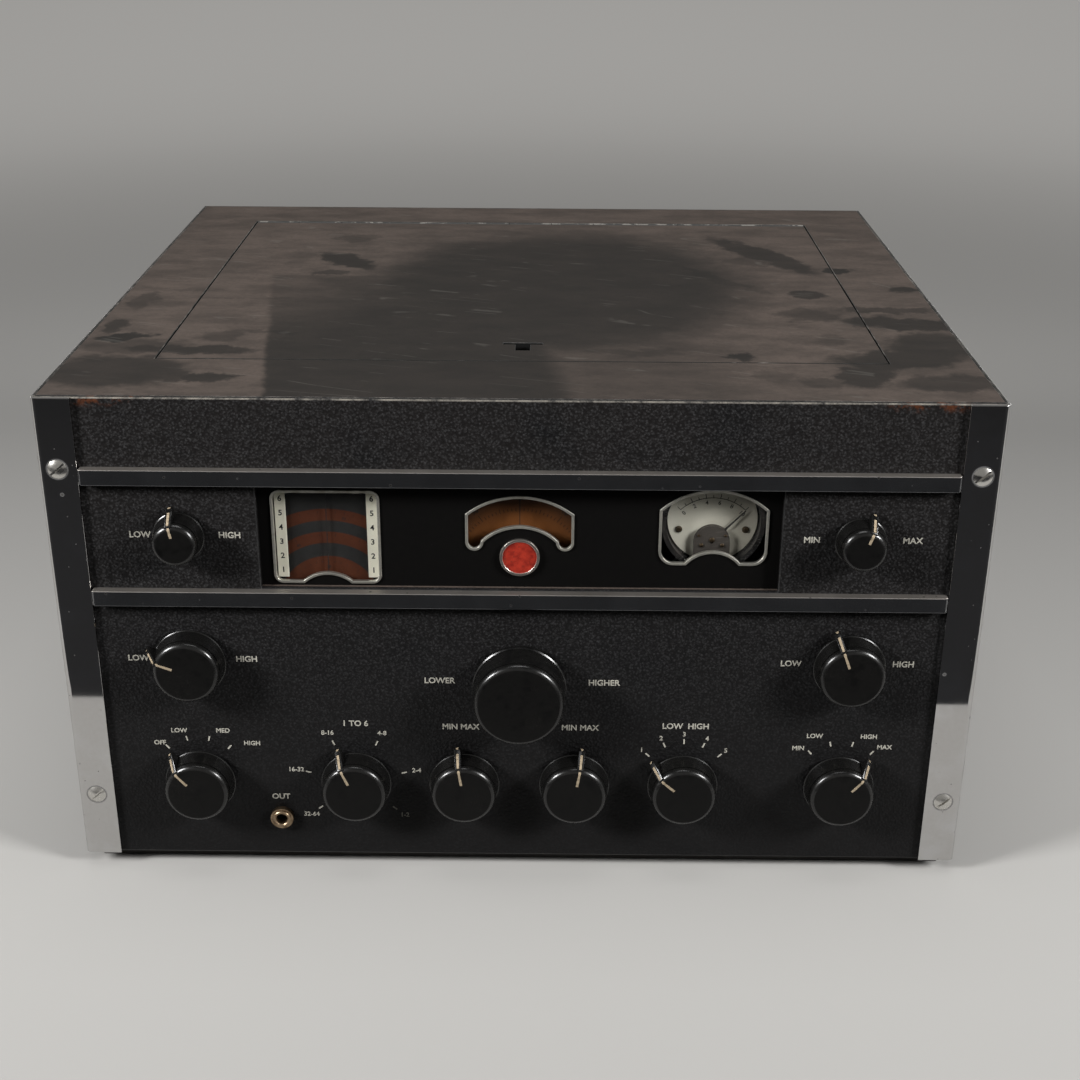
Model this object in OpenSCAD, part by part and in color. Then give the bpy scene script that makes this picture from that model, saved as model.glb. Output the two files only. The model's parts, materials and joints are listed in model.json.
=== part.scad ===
// Communications receiver in a steel cabinet: hinged lid, crackle front panel with chrome trim,
// three dial windows, a geared tuning drive and a chassis with its main components.
// The front faces -Y, X runs to the right, and the base rails stand on Z = 0.

/* [Cabinet] */
// Width over the trim strips
cab_w = 489; // [470:1:540]
// Height of the cabinet above its base rails
cab_h = 270; // [262:1:320]
// Depth of the cabinet behind the front panel
cab_d = 440; // [400:1:540]
// Thickness of the cabinet's sheet steel
sheet_t = 1.6; // [1:0.1:2.4]
// Height of the base rails
rail_h = 8.7; // [5:0.1:20]
// Depth of each base rail from front to back
rail_d = 22; // [12:1:40]
// Distance of the base rails from the cabinet's sides and ends
rail_inset = 6; // [1:0.5:15]

/* [Lid] */
// Width of the lid
lid_w = 392; // [320:1:410]
// Depth of the top sheet in front of the lid
lid_front = 62.5; // [50:0.5:90]
// Depth of the top sheet behind the hinge
lid_rear = 49; // [30:0.5:80]
// Gap round the lid
lid_gap = 0.8; // [0.5:0.1:1.5]
// Width of the lip that the lid closes on
lip_w = 8; // [5:0.5:14]
// Radius of the hinge knuckles
knuckle_r = 2.2; // [1.8:0.1:3]
// Radius of the hinge pin
hinge_pin_r = 1.1; // [0.8:0.05:1.3]
// Number of hinge knuckles
knuckles = 13; // [7:2:21]
// Width of each hinge leaf
leaf_w = 14; // [10:0.5:20]
// Thickness of each hinge leaf
leaf_t = 1.2; // [0.8:0.1:1.6]
// Width of the finger slot
pull_w = 22; // [16:0.5:30]
// Distance of the finger slot from the lid's front edge
pull_y = 30; // [22:0.5:60]

/* [Front panel and trim] */
// Thickness of the front panel
panel_t = 3.2; // [2:0.1:5]
// Width of each chrome side strip
strip_w = 20; // [16:0.5:26]
// Thickness of the chrome side strips
strip_t = 2.2; // [1.5:0.1:3.5]
// Thickness of the strip's turned edge beside the panel
strip_edge = 1.5; // [1:0.1:2.5]
// Outer corner radius of the strips
strip_r = 3; // [1:0.1:3.6]
// Radius of the strip screws' heads
screw_r = 5; // [4:0.1:6]
// Height of the lower pair of strip screws
screw_low = 38.7; // [25:0.1:60]
// Height of the upper pair of strip screws
screw_high = 232; // [200:0.5:250]
// Height of each chrome bar
bar_h = 8.5; // [6:0.1:11]
// How far the chrome bars stand proud of the panel
bar_t = 5.5; // [3:0.1:8]
// Height of the lower bar's top edge
bar_low = 165; // [160:0.1:168]
// Height of the upper bar's bottom edge
bar_high = 224.4; // [222:0.1:240]
// Gap between a bar's ends and the strips
bar_gap = 1; // [0.5:0.1:4]

/* [Windows] */
// Distance of the panel's opening for the dial panel from the cabinet's sides
recess_side = 109; // [100:0.5:112]
// Depth of the dial panel's face behind the front panel's face
recess_d = 5; // [4.4:0.1:7]
// Thickness of the dial panel
dial_panel_t = 1.5; // [1:0.1:2.5]
// Distance of the outer windows' centres from the ends of that opening
window_edge = 34.8; // [31.6:0.1:37.4]
// Half the width of the main window
main_half = 28.3; // [27:0.1:29.5]
// Height of the main window's bottom edge
main_low = 166.3; // [165.2:0.1:169]
// Height of the main window's top edge
main_high = 219; // [214:0.1:222]
// Corner radius of the main window
main_corner = 5; // [2:0.1:8]
// Radius of the notch in the main window's bottom edge
main_notch = 18.2; // [15:0.1:20]
// Outer radius of the vernier window
vernier_out = 44.6; // [42:0.1:46]
// Inner radius of the vernier window
vernier_in = 26.5; // [25:0.1:28]
// Half the width of the vernier window
vernier_half = 28.3; // [27:0.1:29.5]
// Height of the round ends of the vernier window
vernier_lobe = 190.5; // [188:0.1:193]
// Half the width of the meter window
meter_half = 28.4; // [27:0.1:29.5]
// Height of the meter window's bottom edge
meter_low = 178.4; // [176:0.1:181]
// Height of the meter window's top
meter_high = 221; // [217:0.1:222]
// Radius of the meter window's arched top
meter_arch = 41; // [38:0.1:45]
// Corner radius of the meter window's bottom edge
meter_corner = 8; // [5:0.1:9]
// Radius of the notch in the meter window's bottom edge
meter_notch = 17.6; // [15:0.1:19]
// Height of the top of the notch in the meter window
meter_notch_z = 185.1; // [183:0.1:187]
// Width of the bright window rims
rim_w = 1.4; // [0.8:0.1:2]
// How far the rims stand proud of the dial panel
rim_proud = 0.8; // [0.3:0.1:1.5]
// Thickness of the window glass
glass_t = 1.5; // [1:0.1:2]
// How far the glass reaches behind the dial panel round each window
glass_lap = 2.5; // [1.5:0.1:3]
// Radius of the badge
badge_r = 10.5; // [8:0.1:10.8]
// Height of the badge's centre
badge_z = 182.4; // [181:0.1:184]
// Thickness of the badge
badge_t = 1.8; // [1:0.1:3]

/* [Dials and meter] */
// Height of the main dial's axis
dial_z = 153; // [150:0.1:155]
// Radius of the main dial
dial_r = 65; // [60:0.5:67]
// Height of the vernier dial's axis
vernier_z = 172; // [170:0.1:174]
// Radius of the vernier dial
vernier_r = 47; // [45.5:0.5:48]
// Thickness of the dial discs
disc_t = 1; // [0.8:0.1:1.4]
// Width of the index strips beside the main dial
index_w = 5.6; // [3:0.1:6.5]
// Height of the meter face's centre
meter_z = 200.7; // [198:0.1:203]
// Radius of the meter face
meter_r = 23.5; // [21:0.1:24]
// Depth of the meter's case
meter_d = 30; // [22:0.5:45]
// Thickness of the meter's case wall
meter_wall = 2.5; // [1.5:0.1:4]
// Height of the needle's pivot
needle_z = 188.5; // [186:0.1:190]
// Length of the needle
needle_l = 24.5; // [20:0.1:25]
// Needle's angle right of upright at rest
needle_rest = 44; // [35:1:48]

/* [Knobs] */
// Distance of the outer columns of controls from the cabinet's sides
col_edge = 68.5; // [60:0.5:74]
// Distance of the middle columns of controls from the middle
col_mid = 90; // [80:0.5:100]
// Distance of the inner columns of controls from the middle
col_inner = 30.3; // [28:0.1:36]
// Height of the lower row of controls
row_low = 47.5; // [40:0.5:52]
// Height of the middle row of controls
row_mid = 121.8; // [112:0.1:126]
// Height of the upper row of controls
row_high = 195.3; // [188:0.1:199]
// Height of the tuning control
tuning_z = 108; // [106:0.1:111]
// Base radius of the pointer knobs
knob_r = 19.3; // [17:0.1:21]
// Face radius of the pointer knobs
knob_face = 17.6; // [15:0.1:17.8]
// Length of the pointer knobs
knob_l = 14.2; // [11:0.1:20]
// Reach of the pointer's tip from a knob's axis
pointer_r = 23.6; // [21.5:0.1:26]
// Base radius of the two small knobs
small_r = 13.4; // [12.8:0.1:15]
// Face radius of the two small knobs
small_face = 11.6; // [11:0.1:12.8]
// Reach of the pointer's tip on the small knobs
small_pointer = 16.8; // [15.2:0.1:19]
// Base radius of the tuning knob
tuning_r = 25.4; // [22:0.1:28]
// Face radius of the tuning knob
tuning_face = 24; // [20:0.1:24.6]
// Length of the tuning knob
tuning_l = 21.4; // [16:0.1:30]
// Radius of a knob's rounded rim
knob_rim = 2; // [1:0.1:3]
// Width of the groove behind a knob's face
groove_w = 0.8; // [0.4:0.1:1.4]
// Depth of that groove
groove_d = 0.7; // [0.3:0.1:1.2]
// Distance of that groove from the knob's face
groove_back = 3.2; // [3.1:0.1:6]
// Width of the pointers
pointer_w = 3.6; // [2.5:0.1:5]
// Gap between the knobs and the panel
knob_gap = 1.2; // [0.6:0.1:2]
// Tone pointer's angle at rest, clockwise from upright like those below
tone_rest = -8; // [-150:1:150]
// Noise limiter pointer's angle at rest
noise_rest = 17; // [-150:1:150]
// Antenna trimmer pointer's angle at rest
antenna_rest = -68; // [-150:1:150]
// Beat note pointer's angle at rest
beat_rest = -23; // [-150:1:150]
// Function switch pointer's angle at rest
function_rest = -39; // [-45:1:45]
// Range switch pointer's angle at rest
range_rest = -26; // [-150:1:150]
// RF gain pointer's angle at rest
rf_rest = -11; // [-150:1:150]
// AF gain pointer's angle at rest
af_rest = 12; // [-150:1:150]
// Selectivity switch pointer's angle at rest
selectivity_rest = -47; // [-60:1:60]
// AVC switch pointer's angle at rest
avc_rest = 39; // [-45:1:45]

/* [Controls] */
// Radius of the control shafts
shaft_r = 3.175; // [2.5:0.005:3.6]
// Radius of the controls' bushes
bush_r = 4.7; // [4.4:0.05:5.2]
// Thickness of the bush nuts
nut_t = 2.2; // [1.5:0.1:2.6]
// Half the distance across a bush nut's corners
nut_r = 7.4; // [6.6:0.1:8]
// Radius of a potentiometer's can
pot_r = 14; // [11:0.5:16]
// Depth of a potentiometer's can
pot_d = 14; // [12.5:0.5:20]
// Radius of a switch's body
switch_r = 17; // [13:0.5:19]
// Depth of a switch's body
switch_d = 26; // [16:0.5:30]
// Radius of the phones jack's bush
jack_r = 6.3; // [5:0.1:7.5]
// Radius of the phones plug's hole
jack_bore = 3.2; // [2.8:0.05:3.4]
// Depth of the phones plug's hole
jack_l = 28; // [20:0.5:32]
// How far the phones jack lies from midway between its two columns, towards the middle
jack_shift = 0.6; // [-4:0.1:5]
// Height of the phones jack
jack_z = 24.3; // [20:0.1:30]

/* [Tuning drive] */
// Teeth of the main gear on the gang's shaft
main_teeth = 80; // [70:1:84]
// Teeth of the idler gear
idler_teeth = 21; // [19:1:24]
// Teeth of the vernier shaft's pinion
pinion_teeth = 16; // [16:1:20]
// Teeth of the vernier shaft's large gear
vernier_teeth = 66; // [60:1:68]
// Teeth of the tuning shaft's pinion
tuning_teeth = 18; // [17:1:24]
// Thickness of the large gears
gear_t = 4; // [3:0.1:5]
// Play between meshing teeth
backlash = 0.2; // [0.12:0.01:0.3]
// Radius of the flywheel
flywheel_r = 27; // [18:0.5:30]
// Thickness of the flywheel
flywheel_t = 5; // [3:0.1:6]
// Thickness of the bearing plates
plate_t = 2; // [1.5:0.1:3]
// Distance of the front bearing plate behind the panel
plate_y = 16; // [15.5:0.1:20]

/* [Chassis] */
// Height of the chassis deck
deck_z = 75; // [68:0.5:80]
// Space between the chassis and the cabinet's outer sides
chassis_space = 29.5; // [25:0.5:44]
// Thickness of the chassis sheet
chassis_t = 1.6; // [1:0.1:2]
// Space between the chassis and the cabinet's back
rear_space = 13; // [11:0.5:25]
// Outer radius of the gang capacitor's rotor plates
gang_r = 28; // [24:0.5:30]
// Number of sections in the gang capacitor
gang_sections = 4; // [2:1:4]
// Rotor plates in each section
gang_plates = 4; // [3:1:6]
// Pitch of the gang's plates
gang_pitch = 4; // [3.4:0.1:4.4]
// Thickness of the gang's plates
gang_plate_t = 0.8; // [0.6:0.1:1]
// Height of a valve above the deck
valve_h = 78; // [55:1:95]
// Radius of a valve's shell
valve_r = 13; // [11:0.5:15]
// Width of an IF transformer can
can_w = 35; // [28:0.5:38]
// Height of an IF transformer can
can_h = 92; // [70:1:100]

/* [Hidden] */
$fn = 64;

// Clearances: running fit of a shaft, fit of a fixed piece in its hole, overshoot of a cut
run_fit = 0.05;
seat_fit = 0.1;
cut = 1;

// Place of the whole set: the front of the tuning knob and the cabinet's back lie evenly about Y = 0
front_reach = panel_t + knob_gap + tuning_l;
mid_y = (cab_d - front_reach) / 2;

// Panel planes, measured back from the cabinet's front edge
panel_face = -panel_t;
knob_base = panel_face - knob_gap;
dial_face = panel_face + recess_d;
dial_back = dial_face + dial_panel_t;
glass_back = dial_back + glass_t;
panel_w = cab_w - 2 * strip_edge;
strip_face = panel_face - strip_t;
flange_margin = 5;
flange_w = strip_w / 2 + flange_margin;
recess_w = cab_w - 2 * recess_side;
recess_low = bar_low;
recess_high = bar_high;
window_x = recess_w / 2 - window_edge;
dial_panel_lap = 6;
index_t = 0.6;
index_gap = 1;
index_inset = 0.3;
index_end = 2;
disc_gap = 2.2;
main_disc_y = glass_back + index_t + index_gap;
vernier_disc_y = main_disc_y + disc_t + disc_gap;
hub_r = 9;
hub_gap = 0.4;
shaft_nose = 0.5;

// Lid and hinge
hinge_gap = 0.4;
hinge_proud = 0.4;
hinge_y = cab_d - lid_rear - knuckle_r - hinge_gap;
hinge_z = cab_h + hinge_proud - knuckle_r;
lid_back = hinge_y - knuckle_r - hinge_gap;
knuckle_gap = 0.4;
knuckle_pitch = lid_w / knuckles;
under_top = cab_h - sheet_t;
pull_slit = 3;
pull_notch_w = 8;
pull_notch_l = 11;
pull_wall = 1.2;
pull_depth = 12;

// Back: rows of ventilation slots, and the opening for the terminals
vent_rows = [110, 175];
vents = 9;
vent_pitch = 40;
vent_w = 7;
vent_l = 38;
access_w = 300;
access_low = 16;
access_high = 64;

// Controls as [x, height, pointer angle at rest]
col_outer = cab_w / 2 - col_edge;
tone = [-col_outer, row_high, tone_rest];
noise = [col_outer, row_high, noise_rest];
antenna = [-col_outer, row_mid, antenna_rest];
beat = [col_outer, row_mid, beat_rest];
function_switch = [-col_outer, row_low, function_rest];
range_switch = [-col_mid, row_low, range_rest];
rf_gain = [-col_inner, row_low, rf_rest];
af_gain = [col_inner, row_low, af_rest];
selectivity = [col_mid, row_low, selectivity_rest];
avc = [col_outer, row_low, avc_rest];
tuning = [0, tuning_z, 0];
pots_on_panel = [tone, noise, antenna, beat];
pots_on_chassis = [rf_gain, af_gain];
switches = [function_switch, range_switch, selectivity, avc];
all_controls = concat(pots_on_panel, pots_on_chassis, switches, [tuning]);
bush_end = 0.5;
bush_proud = nut_t + bush_end;
nut_room = 2;
knob_recess_r = nut_r + nut_room;
knob_recess_d = bush_proud + nut_room;
knob_crown = 3.5;
shaft_depth = 10;
shaft_end_gap = 1.2;
bush_hole = bush_r + seat_fit;
screw_shank = 2.4;
screw_turn = 40;
jack_x = (col_outer + col_mid) / 2 - jack_shift;
jack_wall = 1.5;
jack_bush = jack_bore + jack_wall;

// Tuning drive: the modules follow from the distances between the axes, so the teeth always mesh
dial_x = -window_x;
pressure_angle = 20;
addendum = 0.9;
dedendum = 1.2;
drive_run = norm([dial_x, dial_z - vernier_z]);
drive_dir = atan2(vernier_z - dial_z, -dial_x);
drive_module = 2 * drive_run / (main_teeth + 2 * idler_teeth + pinion_teeth);
tuning_run = vernier_z - tuning_z;
tuning_module = 2 * tuning_run / (vernier_teeth + tuning_teeth);
idler_run = drive_module * (main_teeth + idler_teeth) / 2;
idler_x = dial_x + idler_run * cos(drive_dir);
idler_z = dial_z + idler_run * sin(drive_dir);
face_extra = 1;
gear_gap = 2;
gear_hub_l = 5;
boss_r = 7;
boss_l = 2;
foot_d = 6;
first_gear_y = plate_y + plate_t + boss_l + gear_gap;
second_gear_y = first_gear_y + gear_t + 2 * gear_gap;
flywheel_y = second_gear_y + gear_t + face_extra + gear_gap / 2;
rear_plate_y = flywheel_y + flywheel_t + gear_gap + boss_l;
tail = 4;
idler_turn = mesh_turn(0, main_teeth, idler_teeth, drive_dir);
pinion_turn = mesh_turn(idler_turn, idler_teeth, pinion_teeth, drive_dir);
tuning_turn = mesh_turn(0, vernier_teeth, tuning_teeth, -90);
rear_axes = [[dial_x, dial_z], [0, vernier_z], [0, tuning_z]];
front_axes = concat(rear_axes, [[idler_x, idler_z]]);
plate_margin = 14;
plate_side = 45;
plate_head = 32;
plate_left = dial_x - plate_side;
plate_right = plate_side;
plate_top = idler_z + plate_head;
lamp_lift = 8;
lamp_z = max(dial_z + dial_r, vernier_z + vernier_r) + lamp_lift;
lamp_r = 4;
lamp_socket_r = 5;

// Gang capacitor behind the rear bearing plate
gang_wall = 2;
gang_side = 6;
gang_half = gang_r + gang_side;
section_margin = 2;
gang_section_l = (gang_plates + 1) * gang_pitch + 2 * section_margin;
gang_space = 4;
gang_y = rear_plate_y + plate_t + boss_l + gang_space;
gang_l = gang_sections * (gang_section_l + gang_wall) + gang_wall;
gang_head = 4;
gang_top = dial_z + gang_r + gang_head;
stator_in = 11;
stator_rod_r = 2;
stator_rod_gap = 0.5;
stator_rod_x = gang_r + stator_rod_r + stator_rod_gap;
stator_rod_z = 12;
stator_rods = [dial_z - stator_rod_z, dial_z + stator_rod_z];

// Meter behind its pane
meter_front = glass_back;
scale_gap = 1;
meter_out = meter_r + scale_gap + meter_wall;
scale_depth = 6;
scale_y = meter_front + scale_depth;
scale_t = 1;
needle_lift = 1.6;
needle_y = scale_y - needle_lift;
needle_t = 0.5;
pivot_r = 0.8;
pivot_gap = 0.2;
needle_slot = 1.6;
slot_floor = 0.6;
needle_hub = 2;
hub_room = 0.4;

// Chassis, and the cans on it as [x, row from the rear]
chassis_w = cab_w - 2 * chassis_space;
chassis_d = cab_d - rear_space;
edge_space = 30;
left_col = edge_space - chassis_w / 2;
right_edge = chassis_w / 2;
can_rear = 60;
can_row_pitch = 50;
can_rows = [chassis_d - can_rear, chassis_d - can_rear - can_row_pitch];
can_step = 60;
can_pitch = 65;
can_right = 155;
front_cans = [for (i = [0 : 2]) [left_col + can_step + i * can_pitch, 1]];
can_places = concat([[left_col, 0], [left_col, 1], [right_edge - can_right, 0]], front_cans);

// Valves in columns as [x, count], one beside the left edge and the others to the right of the gang
gang_column_space = 31.7;
last_column_space = 55;
first_column = dial_x + gang_half + gang_column_space;
column_pitch = (right_edge - last_column_space - first_column) / 3;
column_counts = [3, 3, 2, 2];
inner_columns = [for (i = [0 : 3]) [first_column + i * column_pitch, column_counts[i]]];
valve_columns = concat([[left_col, 4]], inner_columns);
valve_front = 70;
valve_pitch = (can_rows[1] - valve_front) / 4;

// Places a set built about the cabinet's front edge in the shared frame
module on_base() {
    translate([0, -mid_y, rail_h]) children();
}

// Turns a shape drawn in the XY plane to face the front, its Z towards the viewer
module facing(x, z, y = 0) {
    translate([x, y, z]) rotate([90, 0, 0]) children();
}

// A block between two corners
module block(low, high) {
    translate(low) cube(high - low);
}

// A rectangle between two corners with round corners
module round_rect(low, high, r) {
    translate([low[0] + r, low[1]]) square([high[0] - low[0] - 2 * r, high[1] - low[1]]);
    translate([low[0], low[1] + r]) square([high[0] - low[0], high[1] - low[1] - 2 * r]);
    for (x = [low[0] + r, high[0] - r], z = [low[1] + r, high[1] - r])
        translate([x, z]) circle(r);
}

// Involute gear outlines
function involute_deg(a) = tan(a) * 180 / PI - a;
function tooth_half(teeth, m, r) =
    let (pitch_r = m * teeth / 2)
    let (base_r = pitch_r * cos(pressure_angle))
    let (slack = backlash / 4 / pitch_r * 180 / PI)
    90 / teeth - slack + involute_deg(pressure_angle) - involute_deg(acos(min(1, base_r / r)));
function polar(r, a) = [r * cos(a), r * sin(a)];
function gear_radii(teeth, m) =
    let (pitch_r = m * teeth / 2)
    [pitch_r - dedendum * m, pitch_r, pitch_r + addendum * m / 2, pitch_r + addendum * m];
function gear_outline(teeth, m) =
    let (radii = gear_radii(teeth, m))
    [for (i = [0 : teeth - 1])
        each concat(
            [for (k = [0 : 3]) polar(radii[k], 360 * i / teeth - tooth_half(teeth, m, radii[k]))],
            [for (k = [3 : -1 : 0]) polar(radii[k], 360 * i / teeth + tooth_half(teeth, m, radii[k]))]
        )];

// Turn of gear B that puts its teeth between those of gear A, which lies the other way along dir
function mesh_turn(turn_a, teeth_a, teeth_b, dir) =
    dir + 180 - (360 / teeth_b) * (0.5 - (dir - turn_a) * teeth_a / 360);

// A gear in the XZ plane whose front face is at y, turned anticlockwise as seen from the front
module gear_at(x, z, y, teeth, m, turn, thick) {
    translate([x, y + thick, z])
        rotate([90, 0, 0])
            rotate([0, 0, turn])
                linear_extrude(thick) polygon(gear_outline(teeth, m));
}

// A rod along Y from y0 to y1
module rod(x, z, y0, y1, r) {
    translate([x, y1, z]) rotate([90, 0, 0]) cylinder(r = r, h = y1 - y0);
}

// Cabinet

module cabinet_bottom() on_base() color([0.09, 0.09, 0.09])
    block([sheet_t - cab_w / 2, 0, 0], [cab_w / 2 - sheet_t, cab_d - sheet_t, sheet_t]);

module cabinet_side(side) mirror([side, 0, 0]) {
    block([cab_w / 2 - sheet_t, 0, 0], [cab_w / 2, cab_d, cab_h]);
    difference() {
        union() for (y = [0, cab_d - 2 * sheet_t])
            block([cab_w / 2 - flange_w, y, sheet_t], [cab_w / 2 - sheet_t, y + sheet_t, under_top]);
        for (z = [screw_low, screw_high])
            rod(cab_w / 2 - strip_w / 2, z, -cut, sheet_t + cut, screw_shank + seat_fit);
    }
}

module cabinet_sides() on_base() color([0.09, 0.09, 0.09]) {
    cabinet_side(0);
    cabinet_side(1);
}

module cabinet_top() on_base() color([0.11, 0.11, 0.11]) {
    opening = lid_w / 2 + lid_gap;
    difference() {
        block([sheet_t - cab_w / 2, 0, under_top], [cab_w / 2 - sheet_t, cab_d - sheet_t, cab_h]);
        block([-opening, lid_front - lid_gap, under_top - cut],
              [opening, cab_d - lid_rear, cab_h + cut]);
    }
    difference() {
        block([-opening - lip_w, lid_front - lid_gap - lip_w, under_top - sheet_t],
              [opening + lip_w, lid_back - leaf_w, under_top]);
        block([lip_w - opening, lid_front - lid_gap + lip_w, under_top - sheet_t - cut],
              [opening - lip_w, lid_back, under_top + cut]);
    }
}

module cabinet_back() on_base() color([0.09, 0.09, 0.09]) {
    difference() {
        block([sheet_t - cab_w / 2, cab_d - sheet_t, 0], [cab_w / 2 - sheet_t, cab_d, cab_h]);
        block([-access_w / 2, cab_d - sheet_t - cut, access_low],
              [access_w / 2, cab_d + cut, access_high]);
        for (z = vent_rows, i = [0 : vents - 1])
            translate([(i - (vents - 1) / 2) * vent_pitch, cab_d + cut, z])
                rotate([90, 0, 0])
                    linear_extrude(sheet_t + 2 * cut) vent_slot();
    }
}

module vent_slot() {
    translate([-vent_w / 2, 0]) square([vent_w, vent_l]);
    for (z = [0, vent_l]) translate([0, z]) circle(vent_w / 2);
}

module base_rails() on_base() color([0.05, 0.05, 0.05])
    for (y = [rail_inset, cab_d - rail_inset - rail_d])
        block([rail_inset - cab_w / 2, y, -rail_h], [cab_w / 2 - rail_inset, y + rail_d, 0]);

// Lid and hinge

function knuckle_x(i) = -lid_w / 2 + i * knuckle_pitch;

module knuckle(i, r) {
    translate([knuckle_x(i) + knuckle_gap / 2, hinge_y, hinge_z])
        rotate([0, 90, 0]) cylinder(r = r, h = knuckle_pitch - knuckle_gap);
}

module knuckle_room(i) {
    translate([knuckle_x(i) - knuckle_gap / 2, hinge_y, hinge_z])
        rotate([0, 90, 0]) cylinder(r = knuckle_r + hinge_gap, h = knuckle_pitch + knuckle_gap);
}

module pin_room() {
    translate([-lid_w, hinge_y, hinge_z]) rotate([0, 90, 0])
        cylinder(r = hinge_pin_r + run_fit, h = 2 * lid_w);
}

// One leaf: its plate under the sheet from y_low to y_high, with every second knuckle
module hinge_leaf(first, y_low, y_high) {
    difference() {
        union() {
            difference() {
                block([knuckle_gap / 2 - lid_w / 2, y_low, under_top - leaf_t],
                      [lid_w / 2 - knuckle_gap / 2, y_high, under_top]);
                for (i = [1 - first : 2 : knuckles - 1]) knuckle_room(i);
            }
            for (i = [first : 2 : knuckles - 1]) knuckle(i, knuckle_r);
        }
        pin_room();
    }
}

module lid_hinge_leaf() on_base() color([0.2, 0.2, 0.2]) {
    hinge_leaf(0, hinge_y, hinge_y + knuckle_r + hinge_gap + leaf_w);
    translate([knuckle_x(0) + knuckle_gap / 2, hinge_y, hinge_z]) rotate([0, 90, 0])
        cylinder(r = hinge_pin_r, h = lid_w - knuckle_gap);
}

module lid_moving_leaf() on_base() color([0.2, 0.2, 0.2])
    hinge_leaf(1, lid_back - leaf_w + lid_gap, hinge_y);

module lid_panel() on_base() color([0.11, 0.11, 0.11]) {
    slot_y = lid_front + pull_y;
    difference() {
        union() {
            block([-lid_w / 2, lid_front, under_top], [lid_w / 2, lid_back, cab_h]);
            block([-pull_w / 2 - pull_wall, slot_y - pull_notch_l - pull_wall, under_top - pull_depth],
                  [pull_w / 2 + pull_wall, slot_y + pull_slit + pull_wall, under_top]);
        }
        block([-pull_w / 2, slot_y - pull_notch_l, under_top - pull_depth + pull_wall],
              [pull_w / 2, slot_y + pull_slit, under_top]);
        block([-pull_w / 2, slot_y, under_top - cut], [pull_w / 2, slot_y + pull_slit, cab_h + cut]);
        block([-pull_notch_w / 2, slot_y - pull_notch_l, under_top - cut],
              [pull_notch_w / 2, slot_y + cut, cab_h + cut]);
    }
}

// Front panel and its trim

module front_panel() on_base() color([0.1, 0.1, 0.1])
    difference() {
        block([-panel_w / 2, panel_face, 0], [panel_w / 2, 0, cab_h]);
        block([-recess_w / 2, panel_face - cut, recess_low], [recess_w / 2, cut, recess_high]);
        for (c = all_controls) rod(c[0], c[1], panel_face - cut, cut, bush_hole);
        rod(-jack_x, jack_z, panel_face - cut, cut, jack_bush + seat_fit);
        for (x = [-1, 1] * (cab_w - strip_w) / 2, z = [screw_low, screw_high])
            rod(x, z, panel_face - cut, cut, screw_shank + seat_fit);
    }

module strip_profile() {
    difference() {
        union() {
            translate([cab_w / 2 - strip_w, strip_face]) square([strip_w - strip_r, -strip_face]);
            translate([cab_w / 2 - strip_w, strip_face + strip_r])
                square([strip_w, -strip_face - strip_r]);
            translate([cab_w / 2 - strip_r, strip_face + strip_r]) circle(strip_r);
        }
        translate([cab_w / 2 - strip_w - cut, panel_face])
            square([strip_w + cut - strip_edge, panel_t + cut]);
        translate([cab_w / 2 - strip_w - cut, 0]) square([strip_w + 2 * cut, strip_r + cut]);
    }
}

module trim_strips() on_base() color([0.75, 0.75, 0.77])
    for (side = [0, 1]) mirror([side, 0, 0])
        difference() {
            linear_extrude(cab_h) strip_profile();
            for (z = [screw_low, screw_high])
                rod((cab_w - strip_w) / 2, z, strip_face - cut, 0, screw_shank + seat_fit);
        }

module trim_screw() {
    dome_r = 9;
    slot_w = 1.2;
    slot_d = 1.4;
    head_t = dome_r - sqrt(dome_r * dome_r - screw_r * screw_r);
    difference() {
        union() {
            intersection() {
                translate([0, 0, head_t - dome_r]) sphere(dome_r);
                cylinder(r = screw_r, h = head_t + cut);
            }
            translate([0, 0, strip_face - sheet_t]) cylinder(r = screw_shank, h = sheet_t - strip_face);
        }
        translate([-screw_r - cut, -slot_w / 2, head_t - slot_d])
            cube([2 * screw_r + 2 * cut, slot_w, slot_d + cut]);
    }
}

module trim_screws() on_base() color([0.8, 0.8, 0.8])
    for (side = [-1, 1], z = [screw_low, screw_high])
        facing(side * (cab_w - strip_w) / 2, z, strip_face) rotate([0, 0, screw_turn]) trim_screw();

module trim_bars() on_base() color([0.5, 0.5, 0.52]) {
    half = cab_w / 2 - strip_w - bar_gap;
    bevel = 1;
    face = panel_face - bar_t;
    for (z = [bar_low - bar_h, bar_high])
        translate([0, 0, z]) linear_extrude(bar_h)
            polygon([[-half, panel_face], [half, panel_face], [half, face + bevel],
                     [half - bevel, face], [bevel - half, face], [-half, face + bevel]]);
}

// Dial panel, windows and badge. Each outline grows by g on every side.

module main_window(g) {
    difference() {
        translate([dial_x, 0])
            round_rect([-main_half - g, main_low - g], [main_half + g, main_high + g], main_corner + g);
        translate([dial_x, dial_z]) circle(main_notch - g);
    }
}

module vernier_window(g) {
    lobe_r = (vernier_half - sqrt(pow(vernier_in, 2) - pow(vernier_lobe - vernier_z, 2))) / 2 + g;
    difference() {
        intersection() {
            translate([0, vernier_z]) circle(vernier_out + g);
            translate([-vernier_half - g, vernier_lobe])
                square([2 * (vernier_half + g), vernier_out + g]);
        }
        translate([0, vernier_z]) circle(vernier_in - g);
    }
    for (side = [-1, 1]) translate([side * (vernier_half + g - lobe_r), vernier_lobe]) circle(lobe_r);
}

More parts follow.
